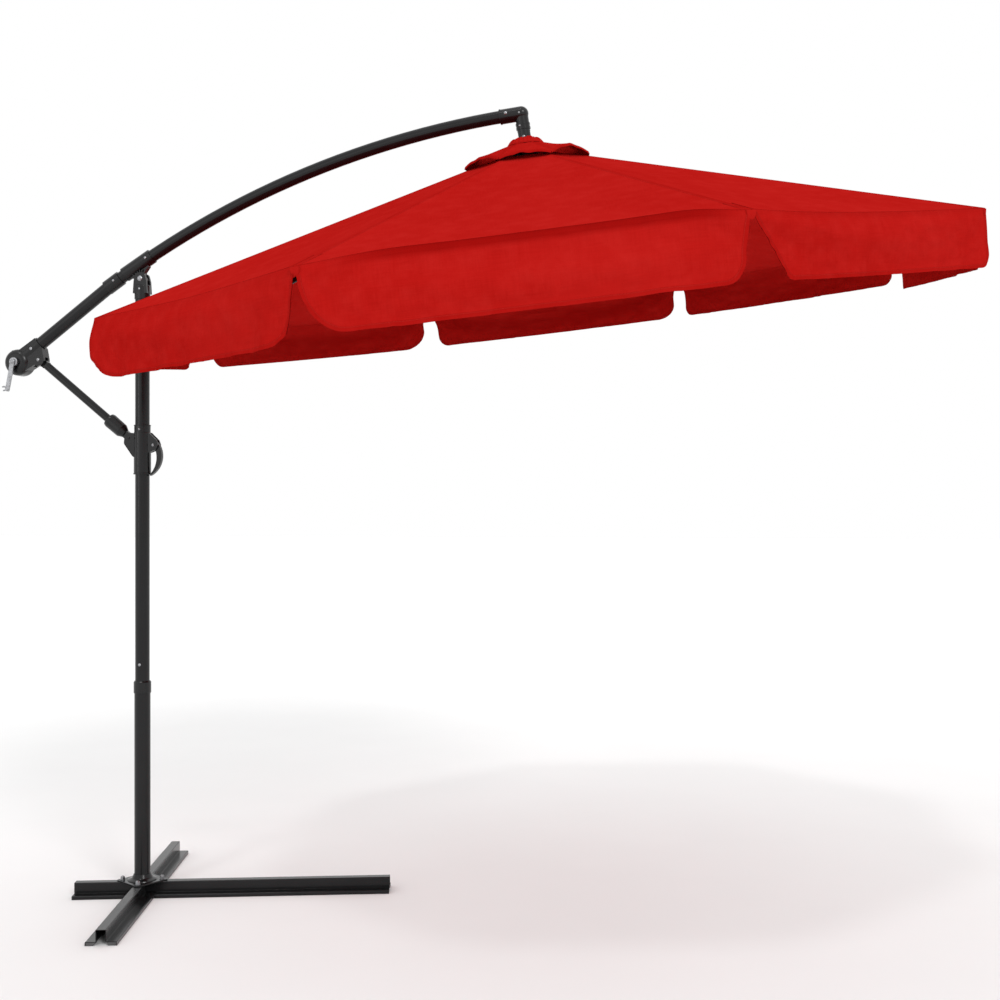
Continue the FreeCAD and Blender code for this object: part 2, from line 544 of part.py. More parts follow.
    # The crank: a boss on the shaft and a flat arm that ends in a curled finger hook.
    boss = across(14, DRUM_CENTRE, front_y, -31)
    boss = boss.makeFillet(3, [e for e in boss.Edges if e.BoundBox.YMax < front_y + 0.1])
    hang = Rotation(Y, 11)
    bar = plate([(-7.5, 7.5, 7), (7.5, 7.5, 7), (6.5, -98, 5), (-6.5, -98, 5)], bar_y, front_y + 1)
    bar.Placement = Placement(DRUM_CENTRE, hang)
    hook = Part.makeTorus(6.4, 2.4, Vector(), Y, -180, 180, 250)
    hook.Placement = Placement(Vector(DRUM_CENTRE) + hang.multVec(Vector(-12.4, front_y - 1.8, -91)),
                               hang.multiply(Rotation(Y, -60)).multiply(hook.Placement.Rotation))
    keep("crank_handle", fuse(boss, bar, hook).cut(across(6.02, DRUM_CENTRE, -60, -20)))
    keep("crank_shaft", shaft, circlip, dome(7, 3, DRUM_CENTRE + Y * bar_y, Y * -1))
    return screws, cross_bolt(STRUT_PIVOT, PIN_R, -20.05, 20.05, 5.2, 3)


# ---- Hoist cord ------------------------------------------------------------------------------
def tangent_angle(centre, small_r, big_r, side):
    """Direction from both centres to the ends of the line that touches both circles."""
    between = centre - ARC_CENTRE
    base = math.degrees(math.atan2(between.z, between.x))
    return base + side * math.degrees(math.acos((big_r - small_r) / between.Length))


def cord_along(edges, start, direction):
    """A round cord swept along edges."""
    circle = Part.Wire(Part.makeCircle(CORD_R, start, direction))
    return Part.Wire(edges).makePipe(Part.Face(circle))


def make_cord(drop_start, leg_dir):
    cord_arc_r = ARC_R - CORD_INSET
    spool_turn = tangent_angle(DRUM_CENTRE, SPOOL_WOUND_R, cord_arc_r, -1)
    pulley = ELBOW + PULLEY_CENTRE
    pulley_turn = tangent_angle(pulley, PULLEY_R, cord_arc_r, 1)
    leave = polar(DRUM_CENTRE, SPOOL_WOUND_R, spool_turn)
    meet = polar(ARC_CENTRE, cord_arc_r, spool_turn)
    part = polar(ARC_CENTRE, cord_arc_r, pulley_turn)
    middle = polar(ARC_CENTRE, cord_arc_r, (spool_turn + pulley_turn) / 2)
    over = polar(pulley, PULLEY_R, pulley_turn)
    in_arm = cord_along([Part.LineSegment(leave, meet).toShape(), Part.Arc(meet, middle, part).toShape(),
                         Part.LineSegment(part, over).toShape()], leave, meet - leave)
    end_turn = math.degrees(math.atan2(leg_dir.x, -leg_dir.z))
    top = polar(PULLEY_CENTRE, PULLEY_R, pulley_turn)
    side = polar(PULLEY_CENTRE, PULLEY_R, (pulley_turn + end_turn) / 2)
    drop_end = drop_start + leg_dir * 52
    over_pulley = cord_along([Part.Arc(top, side, drop_start).toShape(),
                              Part.LineSegment(drop_start, drop_end).toShape()], drop_end, leg_dir * -1)
    over_pulley.Placement = elbow_place
    keep("hoist_cord", fuse(in_arm, over_pulley))
    return elbow_place.multVec(drop_end)


# ---- Strut, slider and lever -----------------------------------------------------------------
def make_strut():
    away = (SLIDER_PIVOT - STRUT_PIVOT).normalize()
    length = STRUT_PIVOT.distanceToPoint(SLIDER_PIVOT)
    frame = Placement(STRUT_PIVOT, Rotation(away, Y, away.cross(Y), "XYZ"))
    tube_start, tube_end = 30.0, length - 34
    tube = pipe(STRUT_R, STRUT_R - 1.2, X * tube_start, X * tube_end)
    tongue = plate([(-12, -12, 11.9), (tube_start - 1, -12, 2),
                    (tube_start - 1, 12, 2), (-12, 12, 11.9)], -9.2, 9.2)
    plug = rod(STRUT_R - 1.25, X * (tube_start - 2), X * (tube_start + 30))
    top_end = fuse(tongue, plug).cut(across(PIN_R + PIN_CLEARANCE, Vector(), -20, 20))

    # The socket swells out of a tongue between the slider's ears and grips the tube.
    pivot = Vector(length, 0, 0)
    eye = plate([(length - 24, -11.8, 2), (length + 11.8, -11.8, 11.7), (length + 11.8, 11.8, 11.7),
                 (length - 24, 11.8, 2)], -9.2, 9.2)
    outline = [(0, length - 96, 0), (21.5, length - 96, 1.5), (23.5, length - 88, 3),
               (22.5, length - 40, 8), (13, length - 22, 4), (0, length - 20, 0)]
    face = rounded_face(outline, lambda p: Vector(p.y, 0, p.x))
    cup = face.revolve(Vector(), X, 360)
    socket = fuse(cup, eye).cut(rod(STRUT_R + 0.05, X * (length - 120), X * tube_end))
    socket = socket.cut(across(PIN_R + PIN_CLEARANCE, pivot, -20, 20))
    for node, solid in (("strut_tube", tube), ("strut_top_end", top_end), ("strut_socket", socket)):
        solid.Placement = frame
        keep(node, solid)


def make_slider():
    collar_r, collar_start = 25.4, SLIDER_TOP - 24
    sleeve = turned([(SLIDER_BORE_R, SLIDER_BOTTOM, 0), (SLIDER_R + 1.4, SLIDER_BOTTOM, 0.8),
                     (SLIDER_R + 1.4, SLIDER_BOTTOM + 4, 0.8), (SLIDER_R, SLIDER_BOTTOM + 5, 0),
                     (SLIDER_R, collar_start, 1), (collar_r, collar_start, 0),
                     (collar_r, SLIDER_TOP - 3.5, 0), (collar_r + 1.2, SLIDER_TOP - 3, 0),
                     (collar_r + 1.2, SLIDER_TOP, 0.8),
                     (SLIDER_BORE_R, SLIDER_TOP, 0)])
    wing = plate([(-15, 1479, 0), (-15, 1402, 0), (-26, 1408, 4),
                  (SLIDER_PIVOT.x - 16, SLIDER_PIVOT.z - 17, 14),
                  (SLIDER_PIVOT.x - 12, SLIDER_PIVOT.z + 16, 12), (-26, 1483, 3)], -18, 18)
    wing = wing.cut(box((SLIDER_PIVOT.x - 40, -9.4, 1390), (-SLIDER_BORE_R, 9.4, 1510)))
    ear = plate([(15, 1486, 0), (27, 1484, 3), (52, LEVER_PIVOT.z + 16, 10), (58, LEVER_PIVOT.z, 10),
                 (50, LEVER_PIVOT.z - 15, 10), (27, 1420, 3), (15, 1418, 0)], -13, 13)
    ear_slot = box((26.9, -7.2, 1400), (80, 7.2, 1500))
    body = fuse(sleeve, wing, ear).cut(ear_slot).cut(rod(SLIDER_BORE_R, Z * 1300, Z * 1600))
    body = body.cut(across(PIN_R + PIN_CLEARANCE, SLIDER_PIVOT, -30, 30))
    body = body.cut(across(3.05, LEVER_PIVOT, -30, 30))
    body = body.cut(rod(4.2, LEVER_PIVOT, Vector(15, 0, LEVER_PIVOT.z)))
    screws = []
    for side in (-1, 1):
        start = Vector(0, side * (collar_r - 0.5), 1495)
        screws.append(dome(3.6, 2.4, start, Y * side))
        body = seat(body, 3.6, start, Y * side)
    keep("slider", body)
    keep("slider_bolts", cross_bolt(SLIDER_PIVOT, PIN_R, -18.05, 18.05, 5, 2.5),
         cross_bolt(LEVER_PIVOT, 3, -13.05, 13.05, 4.6, 2.4), *screws)
    keep("brake_pad", rod(4, Vector(LEVER_PIVOT.x - 10.6, 0, LEVER_PIVOT.z),
                          Vector(SLIDER_BORE_R + 0.2, 0, LEVER_PIVOT.z)))

    # The lever: an eccentric eye on the pin and a curved grip whose tip comes back to the sleeve.
    grip_outer = Part.Arc(Vector(52, 0, 1454), Vector(67, 0, 1410), Vector(28.6, 0, 1345.5)).toShape()
    grip_inner = Part.Arc(Vector(43.5, 0, 1436), Vector(50, 0, 1401), Vector(28.2, 0, 1350.5)).toShape()
    tip = Part.LineSegment(Vector(28.6, 0, 1345.5), Vector(28.2, 0, 1350.5)).toShape()
    root = Part.LineSegment(Vector(43.5, 0, 1436), Vector(52, 0, 1454)).toShape()
    outline = Part.Face(Part.Wire([grip_outer, tip, grip_inner, root]))
    outline.translate(Y * -7)
    grip = outline.extrude(Y * 14)
    eye = across(10.2, LEVER_PIVOT, -7, 7)
    lever = fuse(eye, grip).cut(across(3.05, LEVER_PIVOT, -20, 20))
    keep("slider_lever", lever)


# ---- Canopy frame ----------------------------------------------------------------------------
def rib_frame(index):
    """The place of a rib's hinge: X points outwards, Z along the canopy's axis."""
    turn = Rotation(Z, CANOPY_TURN + 360.0 / RIB_COUNT * index)
    hinge = turn.multVec(Vector(RIB_HINGE_R, 0, hinge_z))
    return canopy_place.multiply(Placement(hinge, turn))


def slotted_disc(low, high, slot_width, slot_low, slot_high):
    """The hub or the runner: a round block with a slot for each rib or stretcher."""
    disc = turned([(0, low, 0), (HUB_R, low, 2), (HUB_R, high, 4), (0, high, 0)])
    for index in range(RIB_COUNT):
        turn = CANOPY_TURN + 360.0 / RIB_COUNT * index
        slot = box((RIB_HINGE_R - 11, -slot_width / 2, slot_low), (HUB_R + 5, slot_width / 2, slot_high))
        slot.Placement = Placement(Vector(), Rotation(Z, turn))
        disc = disc.cut(slot)
    return disc


def hinge_pin(index, centre_z, hole=False):
    """A short pin through one slot, square to its rib."""
    turn = Rotation(Z, CANOPY_TURN + 360.0 / RIB_COUNT * index)
    radius = 1.5 + (PIN_CLEARANCE if hole else 0)
    half = 9.0 if hole else 8.5
    pin = rod(radius, Vector(RIB_HINGE_R, -half, centre_z), Vector(RIB_HINGE_R, half, centre_z))
    pin.Placement = Placement(Vector(), turn)
    return pin


def make_hub(cord_top):
    tongue = plate([(-14, -22, 0), (14, -22, 0), (15, 15, 14.5), (-15, 15, 14.5)], -7.4, 7.4)
    neck = turned([(0, -20, 0), (17, -20, 2), (17, -26, 0), (13, -30, 2),
                   (13, hinge_z + 10, 0), (0, hinge_z + 10, 0)])
    hub = slotted_disc(hinge_z - 12, hinge_z + 10, RIB_TONGUE + 0.6, hinge_z - 20, hinge_z + 20)
    cord_way = canopy_place.inverse().multVec(cord_top)
    hole = rod(3.2, Vector(cord_way.x, 0, 30), Vector(cord_way.x, 0, hinge_z - 30))
    neck_piece = fuse(tongue, neck).cut(across(3.55, Vector(), -20, 20)).cut(hole)
    hub = hub.cut(hole)
    for index in range(RIB_COUNT):
        hub = hub.cut(hinge_pin(index, hinge_z, hole=True))
    pins = [hinge_pin(index, hinge_z) for index in range(RIB_COUNT)]
    runner = slotted_disc(runner_z - 11, runner_z + 9, STRETCHER_TONGUE + 0.6,
                          runner_z - 6.5, runner_z + 20)
    for index in range(RIB_COUNT):
        runner = runner.cut(hinge_pin(index, runner_z, hole=True))
    runner_pins = [hinge_pin(index, runner_z) for index in range(RIB_COUNT)]
    cord_fall = rod(CORD_R, Vector(cord_way.x, 0, 17), Vector(cord_way.x, 0, runner_z + 9.2))
    pieces = {"hub_neck": [neck_piece], "rib_hub": [hub], "rib_hinge_pins": pins, "runner": [runner],
              "runner_pins": runner_pins, "cord_fall": [cord_fall]}
    for node, solids in pieces.items():
        for solid in solids:
            solid.Placement = canopy_place.multiply(solid.Placement)
        keep(node, *solids)


def make_rib(index):
    """A rib: a flat-sided tube with a pressed tongue, a stretcher bracket and an end cap."""
    half_w, half_h = RIB_WIDTH / 2, RIB_HEIGHT / 2
    start = 20.0
    outer = box((start, -half_w, -half_h), (rib_length, half_w, half_h))
    outer = outer.makeFillet(2.4, [e for e in outer.Edges if e.BoundBox.XLength > 100])
    inner = box((start + 8, -half_w + RIB_WALL, -half_h + RIB_WALL),
                (rib_length + 1, half_w - RIB_WALL, half_h - RIB_WALL))
    half_t = RIB_TONGUE / 2
    tongue = plate([(-6.5, -6.5, 6.4), (start + 1, -6.5, 0),
                    (start + 1, 6.5, 0), (-6.5, 6.5, 6.4)], -half_t, half_t)
    tube = fuse(outer.cut(inner), tongue).cut(across(1.5 + PIN_CLEARANCE, Vector(), -10, 10))

    pin = Vector(STRETCHER_REACH, 0, -STRETCHER_OFFSET)
    ear = [(pin.x - 14, -half_h + 6, 0), (pin.x - 14, -half_h - 2, 2), (pin.x - 5, pin.z - 5, 4.5),
           (pin.x + 5, pin.z - 5, 4.5), (pin.x + 14, -half_h - 2, 2), (pin.x + 14, -half_h + 6, 0)]
    bracket = plate(ear, -half_w - 1.3, half_w + 1.3)
    bracket = bracket.cut(box((pin.x - 30, -half_w - 0.05, -half_h - 0.05),
                              (pin.x + 30, half_w + 0.05, 20)))
    bracket = bracket.cut(box((pin.x - 30, -STRETCHER_TONGUE / 2 - 0.3, -40),
                              (pin.x + 30, STRETCHER_TONGUE / 2 + 0.3, -half_h - 1.2)))
    bracket = bracket.cut(across(1.5 + PIN_CLEARANCE, pin, -20, 20))
    rivet = cross_bolt(pin, 1.5, -half_w - 1.35, half_w + 1.35, 2.6, 1.2)
    cap = box((rib_length + 0.05, -half_w - 1, -half_h - 1), (rib_length + RIB_CAP, half_w + 1, half_h))
    cap = cap.makeFillet(2, [e for e in cap.Edges if e.BoundBox.XMin > rib_length + RIB_CAP - 1])
    spigot = box((rib_length - 20, -half_w + RIB_WALL + 0.1, -half_h + RIB_WALL + 0.1),
                 (rib_length + 1, half_w - RIB_WALL - 0.1, half_h - RIB_WALL - 0.1))
    place = rib_frame(index).multiply(Placement(Vector(), Rotation(Y, rib_slope)))
    solids = [tube, bracket, rivet, fuse(cap, spigot)]
    for solid in solids:
        solid.Placement = place
    keep(f"rib_{index + 1}", *solids)


def make_stretcher(index):
    """A stretcher between a rib's bracket and the runner."""
    half_t = STRETCHER_TONGUE / 2
    length = stretcher_length
    outer = box((14, -4, -4.5), (length - 14, 4, 4.5))
    outer = outer.makeFillet(1.8, [e for e in outer.Edges if e.BoundBox.XLength > 100])
    inner = box((22, -3.2, -3.7), (length - 22, 3.2, 3.7))
    ends = []
    for x, side in ((0, 1), (length, -1)):
        ends.append(plate([(x - 4.5 * side, -4.5, 4.4), (x + 15 * side, -4.5, 0), (x + 15 * side, 4.5, 0),
                           (x - 4.5 * side, 4.5, 4.4)], -half_t, half_t))
    bar = fuse(outer.cut(inner), *ends)
    for x in (0, length):
        bar = bar.cut(across(1.5 + PIN_CLEARANCE, Vector(x, 0, 0), -10, 10))
    rise = Placement(Vector(0, 0, runner_z - hinge_z), Rotation(Y, -pin_slope))
    bar.Placement = rib_frame(index).multiply(rise)
    keep(f"stretcher_{index + 1}", bar)


# ---- Fabric ----------------------------------------------------------------------------------
def octagon(radius, height):
    """The octagon's closed wire at a height, its corners over the ribs."""
    turns = [math.radians(CANOPY_TURN + 360.0 / RIB_COUNT * k) for k in range(RIB_COUNT + 1)]
    return Part.makePolygon([Vector(radius * math.cos(t), radius * math.sin(t), height) for t in turns])


def cone_shell(top_r, rim_r, tip_z):
    """An eight-sided fabric cone of even thickness, open at its top."""
    spans = ((tip_z, top_r, rim_r), (tip_z - FABRIC, top_r - 10, rim_r + 10))
    outer, inner = [Part.makeLoft([octagon(r, height - r * cone_slope) for r in (start, end)], True, True)
                    for height, start, end in spans]
    return outer.cut(inner)


def make_fabric():
    top = rim_z - FABRIC - GAP
    flaps = []
    for index in range(RIB_COUNT):
        turn = CANOPY_TURN + 360.0 / RIB_COUNT * (index + 0.5)
        half_side = CANOPY_R * math.sin(math.pi / RIB_COUNT) - 3
        reach = CANOPY_R * math.cos(math.pi / RIB_COUNT)
        face = rounded_face([(-half_side, top, 0), (half_side, top, 0), (half_side, top - FLAP_DROP, 70),
                             (-half_side, top - FLAP_DROP, 70)], lambda p: Vector(reach - FABRIC, p.x, p.y))
        flap = face.extrude(X * FABRIC)
        flap.Placement = Placement(Vector(), Rotation(Z, turn))
        flaps.append(flap)

    # The gathered collar closes the vent cap's opening against the hub's neck.
    vent_tip = TIP_Z + VENT_CAP_LIFT
    over_edge, low_edge = vent_tip - 34 * cone_slope, vent_tip - 60 * cone_slope
    gather = turned([(17.4, -20.4, 0), (17.4, -19.6, 0), (20.4, -18.2, 0), (23.4, -12.2, 0),
                     (36, over_edge + 3, 0), (60, low_edge + 1.2, 0), (60, low_edge + 0.4, 0),
                     (34, over_edge + 1.4, 0), (24.6, -13.6, 0), (21, -19.2, 0)])
    pieces = {"canopy_panels": [cone_shell(VENT_R, CANOPY_R, TIP_Z)],
              "vent_cap": [cone_shell(30, VENT_CAP_R, vent_tip)],
              "canopy_flaps": flaps,
              "neck_ruffle": [gather]}
    for node, solids in pieces.items():
        for solid in solids:
            solid.Placement = canopy_place.multiply(solid.Placement)
        keep(node, *solids)


# ---- Build -----------------------------------------------------------------------------------
def main():
    make_base()
    make_mast()
    arm_screws = make_arm()
    drop_start, leg_dir, elbow_screws, elbow_bolts = make_elbow()
    housing_screws, strut_bolt = make_crank_housing()
    keep("arm_screws", *arm_screws, *elbow_screws, *housing_screws)
    keep("arm_pivot_bolts", *elbow_bolts, strut_bolt)
    cord_top = make_cord(drop_start, leg_dir)
    make_strut()
    make_slider()
    make_hub(cord_top)
    for index in range(RIB_COUNT):
        make_rib(index)
        make_stretcher(index)
    make_fabric()
    os.makedirs("parts", exist_ok=True)
    for node, shape in NODES.items():
        shape.exportStep(f"parts/{node}.step")
        solids = len(shape.Solids)
        print(f"{node}: {solids} solid(s), valid {shape.isValid()}, {shape.Volume / 1000:.1f} cm3")
    print(len(NODES), "nodes")


main()
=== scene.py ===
"""The looks of a cantilever patio umbrella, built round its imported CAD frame.

Lengths are in metres, in the frame of the CAD: +Z up, the mast on the Z axis, +X along the arm.
The canopy is worked out in its own frame, whose origin is the canopy's pivot, whose Z is the
canopy's axis and whose X points along the first rib.
"""
import json
import math

import bpy
import numpy as np
from mathutils import Matrix, Vector


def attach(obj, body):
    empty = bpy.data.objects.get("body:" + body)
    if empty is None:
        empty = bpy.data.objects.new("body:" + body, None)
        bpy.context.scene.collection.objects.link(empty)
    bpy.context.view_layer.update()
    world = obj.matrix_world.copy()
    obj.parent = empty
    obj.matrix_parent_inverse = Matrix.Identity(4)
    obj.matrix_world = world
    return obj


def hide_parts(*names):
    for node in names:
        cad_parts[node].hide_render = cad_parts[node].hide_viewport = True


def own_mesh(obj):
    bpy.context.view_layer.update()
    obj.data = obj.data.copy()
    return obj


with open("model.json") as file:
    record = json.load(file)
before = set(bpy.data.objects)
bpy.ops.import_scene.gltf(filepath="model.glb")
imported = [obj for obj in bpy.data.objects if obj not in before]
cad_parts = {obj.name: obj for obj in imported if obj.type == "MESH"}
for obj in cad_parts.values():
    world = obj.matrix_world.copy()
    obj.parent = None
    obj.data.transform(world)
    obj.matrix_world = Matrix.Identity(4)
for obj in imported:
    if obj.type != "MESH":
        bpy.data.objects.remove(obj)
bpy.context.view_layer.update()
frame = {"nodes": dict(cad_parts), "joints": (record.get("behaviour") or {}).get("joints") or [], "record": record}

# ---- Dimensions ------------------------------------------------------------------------------
CAMERA_AZIMUTH = 7.0         # degrees that the view turns from +Y towards -X
CAMERA_DISTANCE = 4.337      # from the mast, along the view
CAMERA_SIDE = 1.335          # from the mast to the right
CAMERA_HEIGHT = 1.268
CAMERA_LENS = 48.6           # on a sensor 36 mm wide
CAMERA_SHIFT = -0.058        # sideways shift of the lens, in picture widths

# Soft studio lights: name, turn about Z in degrees from the camera's side (0 shines along +Y),
# height in degrees, strength and softness in degrees.
LIGHTS = (("key", 38.0, 30.0, 0.95, 14.0), ("fill", -30.0, 12.0, 0.2, 40.0),
          ("glint", -42.0, 3.0, 0.06, 7.0), ("top_glint", -12.0, 62.0, 0.3, 6.0))
SKY = 1.0

RIBS = 8
CANOPY_R = 1.34              # corner radius of the octagon
CANOPY_RISE = 0.40
TIP_Z = -0.0314              # the cone's tip below the canopy's pivot
VENT_R = 0.15
VENT_CAP_R = 0.205
CAP_NECK_R = 0.031                     # the hole in the cap for the hub's neck
VENT_CAP_LIFT = 0.024
CAP_EDGE = 0.008                       # how far the cap's edge turns down
CAP_FLARE = 0.003                      # and how far it leans out there
CAP_BOW = 0.011                        # how far the cap's edge rises in a gore and drops at its ribs
CAP_RIPPLE = 0.0035
CAP_SIDE = 0.157                       # the cap's edge across a gore
FLAP_DROP = 0.16
# Each end of a flap leans in from the canopy's corner, then turns under in a rounded corner:
# how far it leans, the rounding's width and height, and how soon it leans (1 is a straight edge).
# Gore 5 faces front, 4 left and 6 right.
FLAP_END = (0.036, 0.036, 0.045, 3.0)
ODD_ENDS = {5: ((0.004, 0.105, 0.130, 1.0), (0.022, 0.050, 0.065, 1.0)),
            6: ((0.120, 0.012, 0.010, 1.0), (0.006, 0.035, 0.050, 1.0)),
            4: ((-0.030, 0.180, 0.085, 1.6), (0.020, 0.100, 0.085, 1.0)),
            3: ((0.130, 0.080, 0.070, 3.0), FLAP_END),
            2: ((0.030, 0.110, 0.085, 3.0), FLAP_END),
            1: ((0.030, 0.070, 0.065, 3.0), FLAP_END)}
FLAP_DROPS = {0: 0.138, 1: 0.138, 2: 0.138, 3: 0.138, 4: 0.174}   # where not FLAP_DROP
# Painted shade darkens the cloth in a band along the rim of each gore, its strength given per gore, and the cloth
# turns over the rim in a soft shoulder.
RIM_SHADE, PLAIN_SHADE = {5: 1.0, 6: 0.15, 4: 0.0}, 0.12
RIM_BAND, RIM_FADE = 0.012, 0.016      # the painted shade band's width, and that of its soft edge
RIM_SHOULDER, PLAIN_SHOULDER = {4: 0.075, 6: 0.03}, 0.014
PUFFED_GORE = 5                        # the rim of this gore is pushed up between the ribs,
PUFF = 0.019                           # its flap tucks in below the rim and then bulges out
PUFF_ENDS = (0.34, 0.24)               # shares of the rim over which this fades at its two ends
TUCK, BULGE = 0.012, 0.010
POCKET_R = (1.235, 1.337)              # reach of the pocket that holds each rib's tip
POCKET_WIDTH, POCKET_DEPTH = 0.024, 0.0225
POCKET_CUT = 0.030                     # its flat cloth's width for each radian round it
POCKET_END = 0.004                     # length over which its outer end rounds shut
POCKET_GAP = 0.0015                    # between its edges and the canopy's cloth
# Waves in the flaps: their height, and for puckers how far they reach from their hem or seam.
FLAP_WAVE = 0.010
HEM_PUCKER, HEM_REACH = 0.0036, 0.027
SEAM_PUCKER, SEAM_REACH = 0.0008, 0.02
CLOTH_THICK = 0.0008
HEM_WIDTH = 0.011
RUFFLE_CUT = (0.30, 0.058)
RUFFLE_PLEATS = 26
PLEAT_DEPTH, PLEAT_VARIES = 0.0011, 0.0007
RUFFLE_LUMPS = ((3, 0.0035, 0.9), (5, 0.0025, 2.2))   # how many go round, height and phase
SEED = 7

SLOPE = CANOPY_RISE / CANOPY_R
SLANT = math.hypot(1, SLOPE)           # length down the middle of a gore per metre of radius
HALF_TURN = math.pi / RIBS
SIDE = 2 * CANOPY_R * math.sin(HALF_TURN)

# The simulated cloth has this many quads across a gore, down it, and down its flap. Each is then
# divided again for the finished mesh, a flap more finely than a panel because its hem puckers.
SIM_ACROSS, SIM_UP, SIM_DOWN = 32, 30, 8
COLUMN_CROWDING, ROW_CROWDING = 0.5, 1.3   # towards the ribs (0 is even) and the rim (1 is even)
PANEL_SPLIT, FLAP_SPLIT, DOWN_SPLIT = 2, 6, 3
SIM_FRAMES = 34
SIM_REACH = 0.11              # no point of the cloth moves further than this
SLACK_GORE = 4                # the gore whose cloth is cut a little too full
PANEL_RELAX = 5               # rounds of smoothing that take fine wrinkles out of a panel


# ---- Node materials --------------------------------------------------------------------------
class Surface:
    """A node material under construction round one Principled shader."""

    def __init__(self, name, **sockets):
        self.material = bpy.data.materials.new(name)
        self.material.use_nodes = True
        self.tree = self.material.node_tree
        self.shader = self.tree.nodes["Principled BSDF"]
        for socket, value in sockets.items():
            self.shader.inputs[socket.replace("_", " ")].default_value = value

    def node(self, kind, inputs=None, **settings):
        """Adds a node; an input is a constant or another node's output."""
        made = self.tree.nodes.new("ShaderNode" + kind)
        for setting, value in settings.items():
            setattr(made, setting, value)
        for socket, value in (inputs or {}).items():
            if isinstance(value, bpy.types.NodeSocket):
                self.tree.links.new(value, made.inputs[socket])
            else:
                made.inputs[socket].default_value = value
        return made

    def math(self, operation, *values, clamp=False):
        inputs = dict(enumerate(values))
        return self.node("Math", inputs, operation=operation, use_clamp=clamp).outputs[0]

    def noise(self, vector, scale, detail=4.0, roughness=0.55):
        inputs = {"Vector": vector, "Scale": scale, "Detail": detail, "Roughness": roughness}
        return self.node("TexNoise", inputs).outputs["Fac"]

    def ramp(self, value, low, high, out_low=0.0, out_high=1.0):
        """Maps low..high to out_low..out_high, held at the ends."""
        inputs = {"Value": value, "From Min": low, "From Max": high, "To Min": out_low, "To Max": out_high}
        return self.node("MapRange", inputs).outputs["Result"]

    def mix(self, factor, first, second):
        made = self.node("Mix", {"Factor": factor}, data_type="RGBA")
        for socket, value in ((6, first), (7, second)):
            if isinstance(value, bpy.types.NodeSocket):
                self.tree.links.new(value, made.inputs[socket])
            else:
                made.inputs[socket].default_value = (*value, 1.0)
        return made.outputs[2]

    def stretched(self, vector, scale):
        return self.node("Mapping", {"Vector": vector, "Scale": scale}).outputs["Vector"]

    def place(self):
        return self.node("TexCoord").outputs["Object"]

    def wire(self, socket, value):
        self.tree.links.new(value, self.shader.inputs[socket])

    def bumps(self, *layers):
        """Stacks bump layers of (height, strength, distance)."""
        normal = None
        for height, strength, distance in layers:
            inputs = {"Height": height, "Strength": strength, "Distance": distance}
            if normal:
                inputs["Normal"] = normal
            normal = self.node("Bump", inputs).outputs["Normal"]
        self.wire("Normal", normal)


def painted_metal(name, low, high):
    """Powder coat: a dark satin skin with orange peel and faint dust."""
    s = Surface(name, Metallic=0.0, Specular_IOR_Level=0.3)
    place = s.place()
    cloud = s.noise(place, 9.0, 6.0)
    speck = s.noise(place, 700.0, 2.0)
    dust = s.ramp(s.noise(place, 3.0, 8.0, 0.7), 0.55, 0.8)
    paint = s.mix(s.ramp(cloud, 0.3, 0.7), low, high)
    s.wire("Base Color", s.mix(s.math("MULTIPLY", dust, 0.08), paint, (0.08, 0.078, 0.075)))
    s.wire("Roughness", s.math("ADD", s.ramp(cloud, 0.25, 0.75, 0.19, 0.25), s.math("MULTIPLY", dust, 0.1)))
    s.bumps((s.noise(place, 420.0, 2.0), 0.12, 0.0004), (speck, 0.08, 0.0002))
    return s.material


def moulded_plastic(name, low, high, gloss):
    """Injection-moulded plastic: fine spark texture with soft flow marks."""
    s = Surface(name, Metallic=0.0, Specular_IOR_Level=0.36)
    place = s.place()
    flow = s.noise(s.stretched(place, (18.0, 18.0, 5.0)), 1.0, 5.0)
    grain = s.node("TexVoronoi", {"Vector": place, "Scale": 1500.0}).outputs["Distance"]
    s.wire("Base Color", s.mix(s.ramp(flow, 0.3, 0.7), low, high))
    s.wire("Roughness", s.ramp(flow, 0.3, 0.7, gloss, gloss + 0.12))
    s.bumps((grain, 0.16, 0.0002), (flow, 0.1, 0.0006))
    return s.material


def bright_steel(name):
    """Zinc-plated steel with turned grooves and a little tarnish."""
    s = Surface(name, Metallic=1.0)
    place = s.place()
    grooves = s.noise(s.stretched(place, (2600.0, 300.0, 2600.0)), 1.0, 2.0)
    tarnish = s.ramp(s.noise(place, 160.0, 5.0), 0.45, 0.75)
    s.wire("Base Color", s.mix(tarnish, (0.33, 0.335, 0.35), (0.2, 0.198, 0.195)))
    s.wire("Roughness", s.ramp(tarnish, 0.0, 1.0, 0.34, 0.5))
    s.bumps((grooves, 0.05, 0.0001))
    return s.material


def braided_cord(name):
    """Black polyester cord with crossing braid strands."""
    s = Surface(name, Roughness=0.8, Sheen_Weight=0.15)
    place = s.place()
    strands = s.node("TexVoronoi", {"Vector": s.stretched(place, (900.0, 900.0, 500.0)), "Scale": 1.0})
    s.wire("Base Color", s.mix(strands.outputs["Distance"], (0.012, 0.012, 0.013), (0.05, 0.05, 0.052)))
    s.bumps((strands.outputs["Distance"], 0.6, 0.0005))
    return s.material


